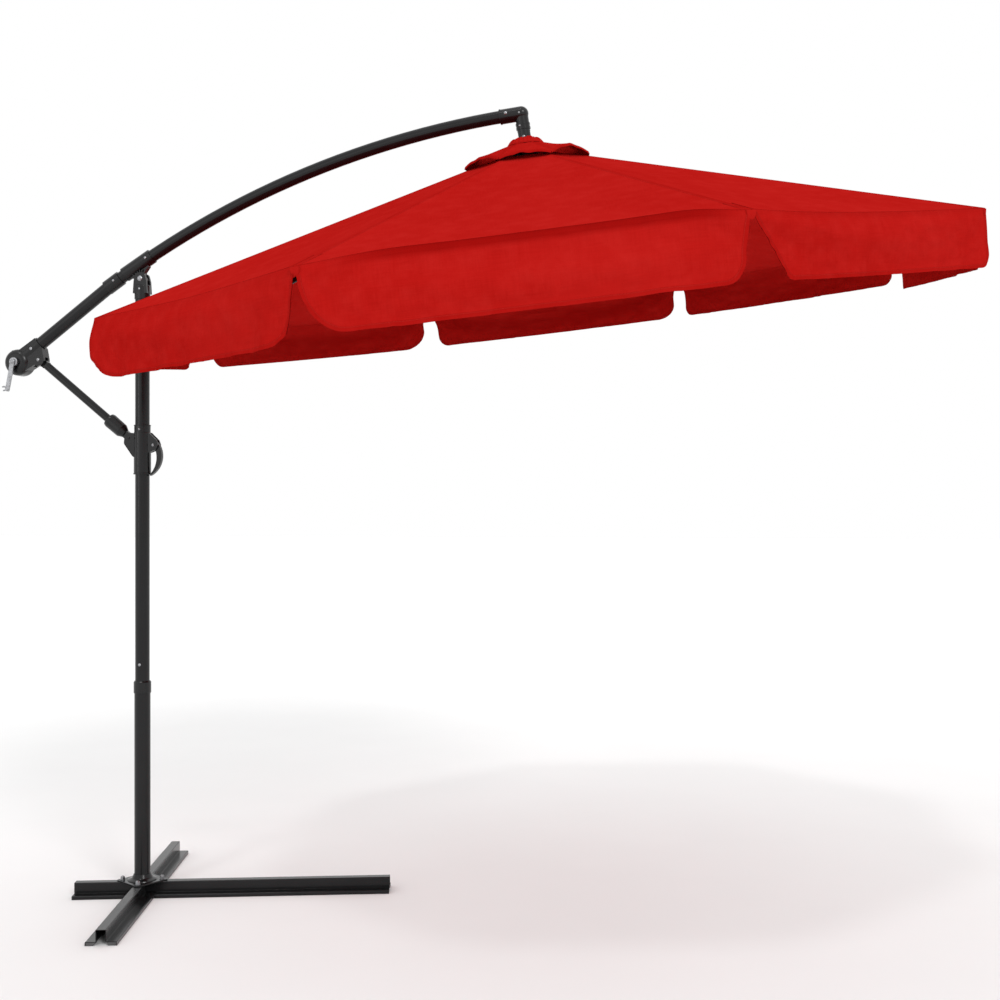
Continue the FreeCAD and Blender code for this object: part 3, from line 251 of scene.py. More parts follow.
def red_cloth(name):
    """Coated polyester: a plain weave with slubs, darker doubled hems and seams with their stitches, and a painted
    shade band along each gore's rim.
    """
    s = Surface(name, Metallic=0.0, Specular_IOR_Level=0.0)
    cut = s.node("UVMap", uv_map="cut").outputs["UV"]
    hem = s.node("Attribute", attribute_name="hem").outputs["Fac"]
    rim = s.node("Attribute", attribute_name="rim").outputs["Fac"]
    weft = s.node("TexWave", {"Vector": cut, "Scale": 160.0}, bands_direction="X").outputs["Fac"]
    warp = s.node("TexWave", {"Vector": cut, "Scale": 160.0}, bands_direction="Y").outputs["Fac"]
    weave = s.math("MULTIPLY", weft, warp)
    slub = s.noise(s.stretched(cut, (420.0, 14.0, 1.0)), 1.0, 3.0)
    cross_slub = s.noise(s.stretched(cut, (14.0, 420.0, 1.0)), 1.0, 3.0)
    threads = s.math("MULTIPLY", s.math("ADD", slub, cross_slub), 0.5)
    cloud = s.noise(cut, 2.2, 4.0)
    rub = s.noise(cut, 17.0, 6.0, 0.65)
    creases = s.noise(s.stretched(cut, (7.0, 16.0, 1.0)), 1.0, 6.0, 0.6)

    dyed = s.mix(s.ramp(threads, 0.35, 0.65), (0.335, 0.0055, 0.0042), (0.385, 0.0080, 0.0065))
    faded = s.mix(s.ramp(cloud, 0.35, 0.65, 0.0, 0.45), dyed, (0.420, 0.0115, 0.0095))
    rubbed = s.mix(s.ramp(rub, 0.45, 0.75, 0.0, 0.4), faded, (0.450, 0.017, 0.014))
    edge_band = s.ramp(hem, HEM_WIDTH, HEM_WIDTH + 0.0008, 1.0, 0.0)
    # Painted shade: the rim attribute darkens a band along each gore's rim, made uneven by the rub noise.
    painted_rim_shade = s.math("MULTIPLY", rim, s.ramp(rub, 0.3, 0.7, 0.55, 0.75))
    layers = s.math("ADD", s.math("MULTIPLY", edge_band, 0.25), painted_rim_shade, clamp=True)
    # The doubled hems and seams, and the painted shade along the rim, both darken the cloth towards this dark red.
    coloured = s.mix(layers, rubbed, (0.21, 0.0012, 0.0010))

    # A row of lock stitches runs inside the hem.
    off_line = s.math("ABSOLUTE", s.math("SUBTRACT", hem, HEM_WIDTH * 0.82))
    line = s.ramp(off_line, 0.0003, 0.0006, 1.0, 0.0)
    along = s.node("SeparateXYZ", {"Vector": cut})
    run = s.math("ADD", along.outputs["X"], along.outputs["Y"])
    dash = s.math("GREATER_THAN", s.math("FRACT", s.math("MULTIPLY", run, 320.0)), 0.28)
    stitch = s.math("MULTIPLY", line, dash)
    s.wire("Base Color", s.mix(stitch, coloured, (0.42, 0.020, 0.016)))
    s.wire("Roughness", s.ramp(threads, 0.3, 0.7, 0.74, 0.9))
    s.bumps((creases, 0.14, 0.0035), (threads, 0.25, 0.0005), (weave, 0.25, 0.0003), (stitch, 0.8, 0.0006),
            (edge_band, 0.5, 0.0006))
    return s.material


def floor_paint(name):
    """A plain pale studio floor."""
    s = Surface(name, Roughness=0.85)
    place = s.place()
    s.wire("Base Color", s.mix(s.noise(place, 1.5, 3.0), (0.82, 0.82, 0.82), (0.86, 0.86, 0.86)))
    s.bumps((s.noise(place, 60.0, 3.0), 0.05, 0.001))
    return s.material


# ---- Camera, light and floor -----------------------------------------------------------------
def make_stage():
    turn = math.radians(CAMERA_AZIMUTH)
    ahead = Vector((-math.sin(turn), math.cos(turn), 0.0))
    right = Vector((math.cos(turn), math.sin(turn), 0.0))
    camera = bpy.data.objects.new("camera", bpy.data.cameras.new("camera"))
    camera.data.lens = CAMERA_LENS
    camera.data.sensor_width = 36.0
    camera.data.shift_x = CAMERA_SHIFT
    camera.location = ahead * -CAMERA_DISTANCE + right * CAMERA_SIDE + Vector((0.0, 0.0, CAMERA_HEIGHT))
    camera.rotation_euler = (math.radians(90.0), 0.0, turn)
    bpy.context.scene.collection.objects.link(camera)
    bpy.context.scene.camera = camera

    for name, turn_to, height, strength, softness in LIGHTS:
        light = bpy.data.objects.new(name, bpy.data.lights.new(name, "SUN"))
        light.data.energy = strength
        light.data.angle = math.radians(softness)
        light.rotation_euler = (math.radians(90.0 - height), 0.0, math.radians(turn_to))
        bpy.context.scene.collection.objects.link(light)
    world = bpy.data.worlds.new("studio")
    world.use_nodes = True
    world.node_tree.nodes["Background"].inputs["Color"].default_value = (1.0, 1.0, 1.0, 1.0)
    world.node_tree.nodes["Background"].inputs["Strength"].default_value = SKY
    bpy.context.scene.world = world
    bpy.context.scene.view_settings.view_transform = "Standard"

    reach = 40.0
    mesh = bpy.data.meshes.new("floor")
    mesh.from_pydata([(-reach, -reach, 0), (reach, -reach, 0), (reach, reach, 0), (-reach, reach, 0)], [],
                     [(0, 1, 2, 3)])
    mesh.materials.append(floor_paint("floor_paint"))
    floor = bpy.data.objects.new("floor", mesh)
    bpy.context.scene.collection.objects.link(floor)


# ---- CAD nodes -------------------------------------------------------------------------------
def blacken(node, joint_name, finish, reach=0.009):
    """Gives the faces of a node near a joint's axis another finish."""
    pivot = next(Vector(joint["pos_m"]) for joint in frame["joints"] if joint["name"] == joint_name)
    node.data.materials.append(finish)
    for face in node.data.polygons:
        if (face.center - pivot).xz.length < reach:
            face.material_index = 1


def dress_cad_nodes():
    """Gives every CAD node the detailed material of its slot."""
    finishes = {
        "frame_steel": painted_metal("frame_paint", (0.0035, 0.0035, 0.004), (0.0065, 0.0065, 0.007)),
        "black_plastic": moulded_plastic("black_moulding", (0.0025, 0.0025, 0.003),
                                         (0.005, 0.005, 0.0055), 0.2),
        "grey_plastic": moulded_plastic("grey_moulding", (0.05, 0.05, 0.052), (0.08, 0.08, 0.08), 0.5),
        "bright_steel": bright_steel("zinc_steel"),
        "rubber": moulded_plastic("brake_rubber", (0.008, 0.008, 0.008), (0.014, 0.014, 0.014), 0.7),
        "red_fabric": cloth_finish,
        "cord": braided_cord("hoist_braid"),
    }
    for part in frame["record"]["subparts"]:
        node = frame["nodes"][part["node"]]
        node.data.materials.clear()
        node.data.materials.append(finishes[part["material_slot"]])
    blacken(frame["nodes"]["slider_bolts"], "slider_on_strut", finishes["black_plastic"])


# ---- Canopy cloth ----------------------------------------------------------------------------
def canopy_frame():
    """The canopy's own frame, from its pivot and the hinges of its ribs."""
    joints = {joint["name"]: joint for joint in frame["joints"]}
    hinges = [joints["canopy_fold" if k == 0 else f"rib_hinge_{k + 1}"] for k in range(RIBS)]
    spots = [Vector(joint["pos_m"]) for joint in hinges]
    centre = sum(spots, Vector()) / RIBS
    along = (spots[0] - centre).normalized()
    axis = along.cross((spots[2] - centre).normalized()).normalized()
    place = Matrix((along, axis.cross(along), axis)).transposed().to_4x4()
    place.translation = Vector(joints["canopy_swing"]["pos_m"])
    return place, spots, [Vector(joint["axis"]) for joint in hinges]


def turned(points, ribs):
    """Points, or directions, turned about the canopy's axis by a number of gores."""
    turn = 2 * HALF_TURN * ribs
    c, s = math.cos(turn), math.sin(turn)
    return points @ np.array(((c, s, 0.0), (-s, c, 0.0), (0.0, 0.0, 1.0)))


def corner(rib, radius, tip_z=TIP_Z):
    """A point of the cone over a rib, at a corner radius of the octagon."""
    turn = 2 * HALF_TURN * rib
    return np.array((radius * math.cos(turn), radius * math.sin(turn), tip_z - radius * SLOPE))


def spread(points, shares):
    """Places on a line of points at the given shares of its length."""
    lengths = np.concatenate(([0.0], np.cumsum(np.linalg.norm(np.diff(points, axis=0), axis=1))))
    return np.stack([np.interp(shares * lengths[-1], lengths, values) for values in points.T], axis=-1)


def flap_cut(across, down, ends):
    """The flat cut of a flap with rounded lower corners: rows by columns of (along, depth)."""
    def rounded(end, start, stop):
        lean, width, height, _ = end
        turn = np.linspace(start, stop, 24)
        return np.stack((lean + width * (1 - np.cos(turn)),
                         FLAP_DROP - height * (1 - np.sin(turn))), axis=-1)

    def leaning(end):
        lean, _, height, haste = end
        fall = np.linspace(0.0, 1.0, 12)[:-1]
        return np.stack((lean * (1 - (1 - fall) ** haste), (FLAP_DROP - height) * fall), axis=-1)

    def mirrored(line):
        return line * (-1.0, 1.0) + (SIDE, 0.0)

    half, full = math.pi / 4, math.pi / 2
    sides = [np.vstack((leaning(end), rounded(end, 0.0, half))) for end in ends]
    left = spread(sides[0], down)[:, None]
    right = mirrored(spread(sides[1], down))[:, None]
    hem = np.vstack((rounded(ends[0], half, full), mirrored(rounded(ends[1], half, full))[::-1]))
    hem = spread(hem, across)[None]
    top = np.stack((SIDE * across, 0 * across), axis=-1)[None]
    u, v = across[None, :, None], down[:, None, None]
    top_ends = (1 - u) * top[:, :1] + u * top[:, -1:]
    hem_ends = (1 - u) * hem[:, :1] + u * hem[:, -1:]
    corners = (1 - v) * top_ends + v * hem_ends
    return (1 - v) * top + v * hem + (1 - u) * left + u * right - corners


def cloth_cuts():
    """The rest shape and the flat cut of each gore with its flap, in the first gore's place."""
    even = np.linspace(0.0, 1.0, SIM_ACROSS + 1)
    across = even - COLUMN_CROWDING * np.sin(2 * math.pi * even) / (2 * math.pi)
    radii = CANOPY_R - (CANOPY_R - VENT_R) * np.linspace(1.0, 0.0, SIM_UP + 1) ** ROW_CROWDING
    down = np.linspace(0.0, 1.0, SIM_DOWN + 1)[1:]
    first, last = corner(0, CANOPY_R), corner(1, CANOPY_R)
    side = (last - first) / SIDE
    middle = (first + last) / 2 - (corner(0, 0.0) + corner(1, 0.0)) / 2
    gores = []
    for gore in range(RIBS):
        panel = np.array([[corner(0, r) * (1 - u) + corner(1, r) * u for u in across] for r in radii])
        panel_cut = np.stack(np.broadcast_arrays(
            SIDE * (0.5 + (across[None] - 0.5) * radii[:, None] / CANOPY_R),
            (radii[:, None] / CANOPY_R - 1) * np.linalg.norm(middle)), axis=-1)
        cut = flap_cut(across, down, ODD_ENDS.get(gore, (FLAP_END, FLAP_END)))
        cut[..., 1] *= FLAP_DROPS.get(gore, FLAP_DROP) / FLAP_DROP
        flap = first + cut[..., :1] * side - cut[..., 1:] * np.array((0.0, 0.0, 1.0))
        gores.append((np.concatenate((panel, flap)), np.concatenate((panel_cut, cut))))
    return gores


def hang_cloth(place, gores):
    """Lets the whole canopy hang from its ribs as one simulated cloth; returns a grid per gore.

    Neighbouring panels share the points along their rib, while the flaps are apart at the corners.
    """
    rows, columns = gores[0][0].shape[:2]
    points = []
    index = np.zeros((RIBS, rows, columns), int)
    for gore in range(RIBS):
        grid = turned(gores[gore][0], gore)
        for r in range(rows):
            for c in range(columns):
                if c == 0 and gore > 0 and r <= SIM_UP:
                    index[gore, r, c] = index[gore - 1, r, columns - 1]
                elif c == columns - 1 and gore == RIBS - 1 and r <= SIM_UP:
                    index[gore, r, c] = index[0, r, 0]
                else:
                    index[gore, r, c] = len(points)
                    points.append(grid[r, c])
    points = np.array(points)
    quads = np.stack((index[:, :-1, :-1], index[:, 1:, :-1], index[:, 1:, 1:], index[:, :-1, 1:]), axis=-1)
    turn, shift = np.array(place.to_3x3()), np.array(place.translation)
    mesh = bpy.data.meshes.new("hanging")
    mesh.from_pydata((points @ turn.T + shift).tolist(), [], quads.reshape(-1, 4).tolist())
    hanging = bpy.data.objects.new("hanging", mesh)
    bpy.context.scene.collection.objects.link(hanging)
    settled = simulate(hanging, index)
    bpy.data.objects.remove(hanging)
    moved = (settled - shift) @ turn - points
    far = np.linalg.norm(moved, axis=1, keepdims=True)
    points = points + moved * np.minimum(1.0, SIM_REACH / np.maximum(far, 1e-9))
    return [turned(points[index[gore]], -gore) for gore in range(RIBS)]


def simulate(hanging, index):
    """Runs the cloth under gravity, held along the ribs and at the vent; returns its points."""
    held = set(index[:, :SIM_UP + 1, 0].ravel().tolist()) | set(index[:, 0, :].ravel().tolist())
    groups = {"held": held, "rim": set(index[:, SIM_UP, :].ravel().tolist()),
              "slack": set(index[SLACK_GORE, 1:SIM_UP, 1:-1].ravel().tolist())}
    for name, members in groups.items():
        hanging.vertex_groups.new(name=name).add(sorted(members), 1.0, "REPLACE")
    modifier = hanging.modifiers.new("hang", "CLOTH")
    modifier.collision_settings.use_collision = False
    modifier.point_cache.frame_end = SIM_FRAMES
    settings = modifier.settings
    settings.quality = 8
    settings.mass = 0.04
    settings.tension_stiffness = 40.0
    settings.tension_stiffness_max = 160.0
    settings.compression_stiffness = 20.0
    settings.shear_stiffness = 12.0
    settings.bending_stiffness = 0.4
    settings.tension_damping = 20.0
    settings.shear_damping = 12.0
    settings.air_damping = 4.0
    settings.vertex_group_mass = "held"
    settings.vertex_group_structural_stiffness = "rim"
    settings.vertex_group_shrink = "slack"
    settings.shrink_min = -0.0015
    settings.shrink_max = -0.008
    scene = bpy.context.scene
    scene.frame_start, scene.frame_end = 1, SIM_FRAMES
    for step in range(1, SIM_FRAMES + 1):
        scene.frame_set(step)
    shown = hanging.evaluated_get(bpy.context.evaluated_depsgraph_get())
    settled = np.array([vertex.co for vertex in shown.data.vertices])
    hanging.modifiers.remove(modifier)
    scene.frame_set(1)
    return settled


def refine(grid, times, axis):
    """Divides each interval of a grid along one axis, by a Catmull-Rom curve through its points."""
    grid = np.moveaxis(grid, axis, 0)
    where = np.linspace(0.0, len(grid) - 1.0, (len(grid) - 1) * times + 1)
    low = np.minimum(where.astype(int), len(grid) - 2)
    t = (where - low).reshape(-1, *[1] * (grid.ndim - 1))
    padded = np.concatenate([2 * grid[:1] - grid[1:2], grid, 2 * grid[-1:] - grid[-2:-1]])
    p0, p1, p2, p3 = (padded[low + k] for k in range(4))
    values = p1 + 0.5 * t * (p2 - p0 + t * (2 * p0 - 5 * p1 + 4 * p2 - p3 + t * (3 * (p1 - p2) + p3 - p0)))
    return np.moveaxis(values, 0, axis)


def relaxed(grid, rounds):
    """A grid with its inner points drawn towards their neighbours, which takes out fine wrinkles."""
    grid = grid.copy()
    for _ in range(rounds):
        around = grid[:-2, 1:-1] + grid[2:, 1:-1] + grid[1:-1, :-2] + grid[1:-1, 2:]
        grid[1:-1, 1:-1] += 0.5 * (around / 4 - grid[1:-1, 1:-1])
    return grid


def grid_normals(grid):
    """Outward unit normals of a rows-by-columns grid."""
    normals = np.cross(np.gradient(grid, axis=0), np.gradient(grid, axis=1))
    return normals / np.maximum(np.linalg.norm(normals, axis=-1, keepdims=True), 1e-12)


def ring_normals(grids):
    """Normals of a ring of grids that share their side columns, smooth from each to the next."""
    ring = np.concatenate([grid[:, :-1] for grid in grids], axis=1)
    normals = grid_normals(np.concatenate((ring[:, -1:], ring, ring[:, :1]), axis=1))[:, 1:-1]
    width = grids[0].shape[1] - 1
    picks = [np.arange(k * width, (k + 1) * width + 1) % ring.shape[1] for k in range(len(grids))]
    return [normals[:, pick] for pick in picks]


def shoulder(normals, rim_normals, distance, reach):
    """Normals that turn softly from the rim's own normals to a sheet's, over a reach from the rim."""
    share = ease(distance / reach)[..., None]
    mixed = rim_normals * (1 - share) + normals * share
    return mixed / np.linalg.norm(mixed, axis=-1, keepdims=True)


def nearest(cut, borders):
    """Distance of each place of a flat cut from its borders."""
    line = np.concatenate([border.reshape(-1, 2) for border in borders])
    return np.min(np.linalg.norm(cut[..., None, :] - line, axis=-1), axis=-1)


def ripple(place, wavelengths, rng):
    """A seeded wave along a line, from about -1 to 1, made of several wavelengths."""
    total = sum(rng.uniform(0.6, 1.0) * np.sin(2 * math.pi * (place / length + rng.random()))
                for length in wavelengths)
    return total / len(wavelengths)


def ease(values):
    """A smooth step from 0 to 1, held at its ends."""
    held = np.clip(values, 0.0, 1.0)
    return held * held * (3 - 2 * held)


def finish_flap(grid, cut, rng):
    """Adds to a hanging flap its slow waves and the puckers along its hem and its top seam."""
    along, down = cut[..., 0], cut[..., 1]
    depth = down / FLAP_DROP
    wave = FLAP_WAVE * depth ** 1.5 * ripple(along + 0.15 * down, (0.31, 0.22, 0.17, 0.12), rng)
    fade = np.exp(-nearest(cut, [cut[-1], cut[:, 0], cut[:, -1]]) / HEM_REACH)
    lively = 0.5 + 0.5 * ripple(along, (0.23, 0.37), rng)
    puckers = ripple(along + 0.3 * down, (0.026, 0.033, 0.045, 0.060), rng)
    wave += HEM_PUCKER * fade * (0.35 + lively) * puckers
    wave += SEAM_PUCKER * np.exp(-down / SEAM_REACH) * ripple(along, (0.034, 0.05), rng)
    held = ease(depth / 0.08)
    return grid + (wave * held)[..., None] * grid_normals(grid)


class Cloth:
    """One sewn piece under construction: its points, faces, normals, flat cut and hem distances."""

    def __init__(self):
        self.points, self.normals, self.cut, self.hem, self.rim, self.faces = [], [], [], [], [], []
        self.count = 0
        self.area = 0.0

    def patch(self, grid, normals, cut, hem, rim=0.0):
        """Adds a grid as a thin closed solid, doubled in thickness at its hems.

        hem is the distance from the nearest hem, and rim how strongly painted shade darkens the cloth along the
        rim.
        """
        rows, columns = grid.shape[:2]
        edge_band = (1 - ease((hem - HEM_WIDTH) / 0.003))[..., None]
        outer = grid + normals * (0.5 * CLOTH_THICK) * edge_band
        inner = grid - normals * CLOTH_THICK * (1 + 0.5 * edge_band)
        for points, outward in ((outer, normals), (inner, -normals)):
            self.points.append(points.reshape(-1, 3))
            self.normals.append(outward.reshape(-1, 3))
            self.cut.append(cut.reshape(-1, 2))
            self.hem.append(hem.ravel())
            self.rim.append((rim + 0 * hem).ravel())
        at = self.count + np.arange(2 * rows * columns).reshape(2, rows, columns)
        self.count += 2 * rows * columns
        top, low = at
        for quads in ((top[:-1, :-1], top[1:, :-1], top[1:, 1:], top[:-1, 1:]),
                      (low[:-1, :-1], low[:-1, 1:], low[1:, 1:], low[1:, :-1])):
            self.faces += np.stack(quads, -1).reshape(-1, 4).tolist()
        here, under = (np.concatenate((layer[0], layer[1:, -1], layer[-1, -2::-1], layer[-2:0:-1, 0]))
                       for layer in at)
        self.faces += np.stack((here, np.roll(here, -1), np.roll(under, -1), under), -1).tolist()
        step, fall = np.diff(cut, axis=1)[:-1], np.diff(cut, axis=0)[:, :-1]
        self.area += float(np.abs(step[..., 0] * fall[..., 1] - step[..., 1] * fall[..., 0]).sum())

    def build(self, name, place):
        turn = np.array(place.to_3x3())
        points = np.concatenate(self.points) @ turn.T + np.array(place.translation)
        normals = np.concatenate(self.normals) @ turn.T
        mesh = bpy.data.meshes.new(name)
        mesh.from_pydata(points.tolist(), [], self.faces)
        mesh.materials.append(cloth_finish)
        mesh.polygons.foreach_set("use_smooth", [True] * len(mesh.polygons))
        corners = np.zeros(len(mesh.loops), int)
        mesh.loops.foreach_get("vertex_index", corners)
        mesh.uv_layers.new(name="cut").data.foreach_set(
            "uv", np.concatenate(self.cut)[corners].astype(np.float32).ravel())
        for attribute, values in (("hem", self.hem), ("rim", self.rim)):
            mesh.attributes.new(attribute, "FLOAT", "POINT").data.foreach_set(
                "value", np.concatenate(values).astype(np.float32))
        mesh.normals_split_custom_set_from_vertices(normals.tolist())
        piece = bpy.data.objects.new(name, mesh)
        bpy.context.scene.collection.objects.link(piece)
        return piece


def puffed(grid):
    """A gore with its rim pushed up between its ribs, its flap tucked in there and bulging lower."""
    grid = grid.copy()
    share = np.linspace(0.0, 1.0, grid.shape[1])
    between = ease(share / PUFF_ENDS[0]) * ease((1 - share) / PUFF_ENDS[1])
    inward = np.linspace(1.0, 0.0, SIM_UP + 1) ** ROW_CROWDING
    below = np.linspace(0.0, 1.0, SIM_DOWN + 1)[1:]
    lift = np.concatenate(((1 - inward) ** 2.4, (1 - below) ** 1.2))
    outward = np.array((math.cos(HALF_TURN), math.sin(HALF_TURN), 0.0))
    push = BULGE * ease((below - 0.3) / 0.4) - TUCK * np.sin(math.pi * np.clip(below / 0.45, 0, 1))
    grid[..., 2] += PUFF * lift[:, None] * between
    grid[SIM_UP + 1:] += (push[:, None] * between)[..., None] * outward
    return grid


def rim_shade(gore, distance):
    """How strongly painted shade darkens the cloth at distances from the rim of a gore, least at the gore's ends.

    A panel gives four times its distance, so that the shade ends sooner above the rim than below.
    """
    share = np.linspace(0.0, 1.0, distance.shape[1])
    # The painted shade band: full near the rim, fading out further from it.
    edge_band = 1 - ease((distance - RIM_BAND) / RIM_FADE)
    between = ease((share - 0.05) / 0.3) * ease((1 - share) / 0.2)
    return RIM_SHADE.get(gore, PLAIN_SHADE) * edge_band * between


def make_canopy(place):
    """The canopy's cloth, cut through the middle of each gore so that each rib carries its share."""
    rng = np.random.default_rng(SEED)
    gores = cloth_cuts()
    grids = hang_cloth(place, gores)
    rim = SIM_UP + 1
    panels, panel_cuts, panel_hems = [], [], []
    flaps = []      # for each gore, what Cloth.patch takes: grid, normals, flat cut, hem and rim
    grids[PUFFED_GORE] = puffed(grids[PUFFED_GORE])
    for gore, (grid, (_, cut)) in enumerate(zip(grids, gores)):
        panel = refine(refine(relaxed(grid[:rim], PANEL_RELAX), PANEL_SPLIT, 0), PANEL_SPLIT, 1)
        panel_cut = refine(refine(cut[:rim], PANEL_SPLIT, 0), PANEL_SPLIT, 1)
        panels.append(turned(panel, gore))
        panel_cuts.append(panel_cut)
        panel_hems.append(nearest(panel_cut, [refine(panel_cut[[0, -1]], 6, 1),
                                              refine(panel_cut[:, [0, -1]], 6, 0)]))
        flap = refine(refine(grid[rim - 1:], DOWN_SPLIT, 0), FLAP_SPLIT, 1)
        top_cut = np.stack((cut[rim - 1, :, 0], 0 * cut[rim - 1, :, 0]), axis=-1)[None]
        flap_flat = refine(refine(np.concatenate((top_cut, cut[rim:])), DOWN_SPLIT, 0), FLAP_SPLIT, 1)
        flap = turned(finish_flap(flap, flap_flat, rng), gore)
        hem = nearest(flap_flat, [flap_flat[-1], flap_flat[:, 0], flap_flat[:, -1]])
        # The flap's painted shade below the rim goes in with it.
        flaps.append([flap, grid_normals(flap), flap_flat, hem, rim_shade(gore, flap_flat[..., 1])])

    normals = ring_normals(panels)
    finer = FLAP_SPLIT // PANEL_SPLIT
    for gore, flap in enumerate(flaps):
        reach = RIM_SHOULDER.get(gore, PLAIN_SHOULDER)
        turnover = normals[gore][-1:] + flap[1][:1, ::finer]
        turnover /= np.linalg.norm(turnover, axis=-1, keepdims=True)
        normals[gore] = shoulder(normals[gore], turnover, -panel_cuts[gore][..., 1], reach)
        flap[1] = shoulder(flap[1], refine(turnover, finer, 1), flap[2][..., 1], reach)
    half_panel, half_flap = SIM_ACROSS * PANEL_SPLIT // 2, SIM_ACROSS * FLAP_SPLIT // 2
    for rib in range(RIBS):
        before = (rib - 1) % RIBS
        wedge = Cloth()
        for gore, columns in ((before, slice(half_panel, None)), (rib, slice(0, half_panel + 1))):
            # The panel's painted shade above the rim.
            shade = rim_shade(gore, -4 * panel_cuts[gore][..., 1])
            parts = panels[gore], normals[gore], panel_cuts[gore], panel_hems[gore], shade
            wedge.patch(*(part[:, columns] for part in parts))
        for gore, columns in ((before, slice(half_flap, None)), (rib, slice(0, half_flap + 1))):
            wedge.patch(*(part[:, columns] for part in flaps[gore]))
        pocket, pocket_cut = tip_pocket(rib)
        wedge.patch(pocket, grid_normals(pocket), pocket_cut, nearest(pocket_cut, [pocket_cut[:1]]))
        piece = wedge.build(f"canopy_cloth_{rib + 1}", place)
        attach(piece, f"rib_body_{rib + 1}")
        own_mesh(piece)
        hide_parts("canopy_panels", "canopy_flaps")


def tip_pocket(rib):
    """The small pocket of cloth under a corner that takes the rib's tip: its grid and its flat cut.

    Across the rib it is a half oval, a little squared to clear the rib's lower edges.
    """
    straight = np.linspace(*POCKET_R, 12)
    closing = np.linspace(0.0, math.pi / 2, 7)[1:]
    along = np.concatenate((straight, POCKET_R[1] + POCKET_END * np.sin(closing)))
    depth = POCKET_DEPTH * np.concatenate((np.ones(len(straight)), np.cos(closing)))
    turn = np.linspace(-math.pi / 2, math.pi / 2, 25)
    radius, angle = along[:, None], turn[None]
    drop = depth[:, None] * np.cos(angle) ** 0.6
    grid = np.stack((radius + 0 * angle, 0.5 * POCKET_WIDTH * np.sin(angle) + 0 * radius,
                     TIP_Z - radius * SLOPE - POCKET_GAP - drop), axis=-1)
    cut = np.stack(np.broadcast_arrays(POCKET_CUT * turn[None], along[:, None]), axis=-1)
    return turned(grid[:, ::-1], rib), cut


def make_vent_cap(place):
    """The small raised cap over the vent, with a turned-down edge that waves a little."""
    rng = np.random.default_rng(SEED + 1)
    tip = TIP_Z + VENT_CAP_LIFT
    columns, rows, edge_rows = 40, 24, 5
    share = np.linspace(0.0, 1.0, columns + 1)
    slope_radii = np.linspace(CAP_NECK_R, VENT_CAP_R, rows + 1)
    radii = np.concatenate((slope_radii, np.full(edge_rows, VENT_CAP_R)))
    fall = np.linspace(0.2, 1.0, edge_rows)[:, None]
    depth = np.concatenate((slope_radii * SLANT, VENT_CAP_R * SLANT + CAP_EDGE * fall[:, 0]))
    outward = np.array((math.cos(HALF_TURN), math.sin(HALF_TURN), 0.0))
    reach = (radii / VENT_CAP_R)[:, None]
    bow = 4 * share * (1 - share)
    spots = []
    for gore in range(RIBS):
        grid = np.array([[corner(0, r, tip) * (1 - u) + corner(1, r, tip) * u for u in share]
                         for r in radii])
        grid[-edge_rows:, :, 2] -= CAP_EDGE * fall
        grid[-edge_rows:] += outward * (CAP_FLARE * np.sin(fall * math.pi / 2))[..., None]
        grid[..., 2] += CAP_BOW * bow * reach ** 3 * rng.uniform(-0.6, 1.0)
        grid[..., 2] -= CAP_BOW * (1 - bow) * reach ** 5
        waves = ripple(share * CAP_SIDE, (0.043, 0.06, 0.09), rng)
        grid[..., 2] += CAP_RIPPLE * bow * reach ** 4 * waves
        spots.append(turned(grid, gore))
    width = 2 * math.sin(HALF_TURN) * radii
    cut = np.stack(np.broadcast_arrays((share[None] - 0.5) * width[:, None], depth[:, None]), axis=-1)
    normals = ring_normals(spots)
    hem = nearest(cut, [refine(cut[-1:], 3, 1), cut[:, :1], cut[:, -1:]])
    for rib in range(RIBS):
        cap = Cloth()
        for gore, picked in (((rib - 1) % RIBS, slice(columns // 2, None)),
                             (rib, slice(0, columns // 2 + 1))):
            parts = spots[gore], normals[gore], cut, hem
            cap.patch(*(part[:, picked] for part in parts))
        piece = cap.build(f"vent_cap_cloth_{rib + 1}", place)
        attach(piece, f"rib_body_{rib + 1}")
        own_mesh(piece)
        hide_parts("vent_cap")


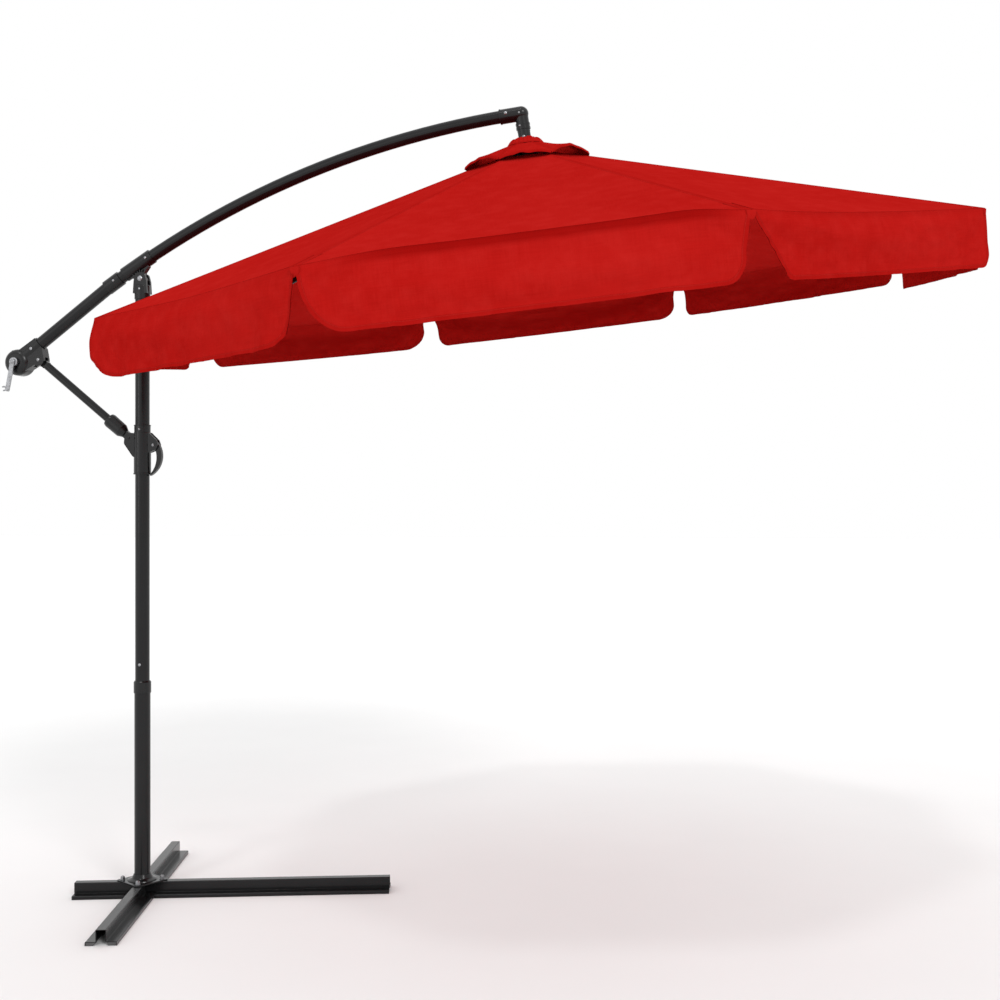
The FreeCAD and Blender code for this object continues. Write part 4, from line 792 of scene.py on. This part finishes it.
def make_ruffle(place):
    """The gathered collar of cloth round the hub's neck: a turned profile with uneven pleats."""
    rng = np.random.default_rng(SEED + 2)
    points_per_pleat = 10
    turns = np.linspace(0.0, 2 * math.pi, RUFFLE_PLEATS * points_per_pleat + 1)[:-1]
    # Radius and height, from the neck up over the roll and down to the cap.
    profile = np.array(((0.0225, -0.0185), (0.0245, -0.0125), (0.0285, -0.0065), (0.034, -0.0045),
                        (0.041, -0.0065), (0.048, -0.0125), (0.054, -0.0195), (0.0575, -0.0245)))
    profile = refine(profile, 4, 0)
    share = np.linspace(0.0, 1.0, len(profile))
    drift = np.cumsum(rng.uniform(0.6, 1.4, RUFFLE_PLEATS))
    phase = np.interp(turns, np.linspace(0, 2 * math.pi, RUFFLE_PLEATS + 1),
                      np.concatenate(([0.0], drift)) * (2 * math.pi * RUFFLE_PLEATS / drift[-1]))
    depth = PLEAT_DEPTH + PLEAT_VARIES * ripple(turns, (math.pi * 0.5, math.pi * 0.3), rng)
    lumps = sum(height * np.sin(count * turns + start) for count, height, start in RUFFLE_LUMPS)
    fullness = np.sin(math.pi * np.clip(share * 0.9 + 0.1, 0, 1))
    pleat = depth[None] * np.sin(phase)[None] * (0.35 + fullness[:, None])
    radius = profile[:, :1] + pleat + lumps[None] * share[:, None] ** 2 * 0.6
    height = profile[:, 1:] + 0.6 * pleat + 0.7 * lumps[None] * fullness[:, None]
    grid = np.stack((radius * np.cos(turns), radius * np.sin(turns), height), axis=-1)
    grid = np.concatenate((grid, grid[:, :1]), axis=1)
    wrapped = np.concatenate((grid[:, -2:-1], grid, grid[:, 1:2]), axis=1)
    cut = np.stack(np.broadcast_arrays(np.linspace(0, RUFFLE_CUT[0], grid.shape[1])[None],
                                       np.linspace(0, RUFFLE_CUT[1], grid.shape[0])[:, None]), axis=-1)
    hem = nearest(cut[:, :1], [cut[:1, :1], cut[-1:, :1]]) + 0 * cut[..., 0] + 0.004
    ruffle = Cloth()
    ruffle.patch(grid, grid_normals(wrapped)[:, 1:-1], cut, hem)
    piece = ruffle.build("neck_ruffle_cloth", place)
    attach(piece, "hub")
    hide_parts("neck_ruffle")


cloth_finish = red_cloth("red_polyester")
make_stage()
dress_cad_nodes()
canopy_place, rib_hinges, rib_tangents = canopy_frame()
make_canopy(canopy_place)
make_vent_cap(canopy_place)
make_ruffle(canopy_place)
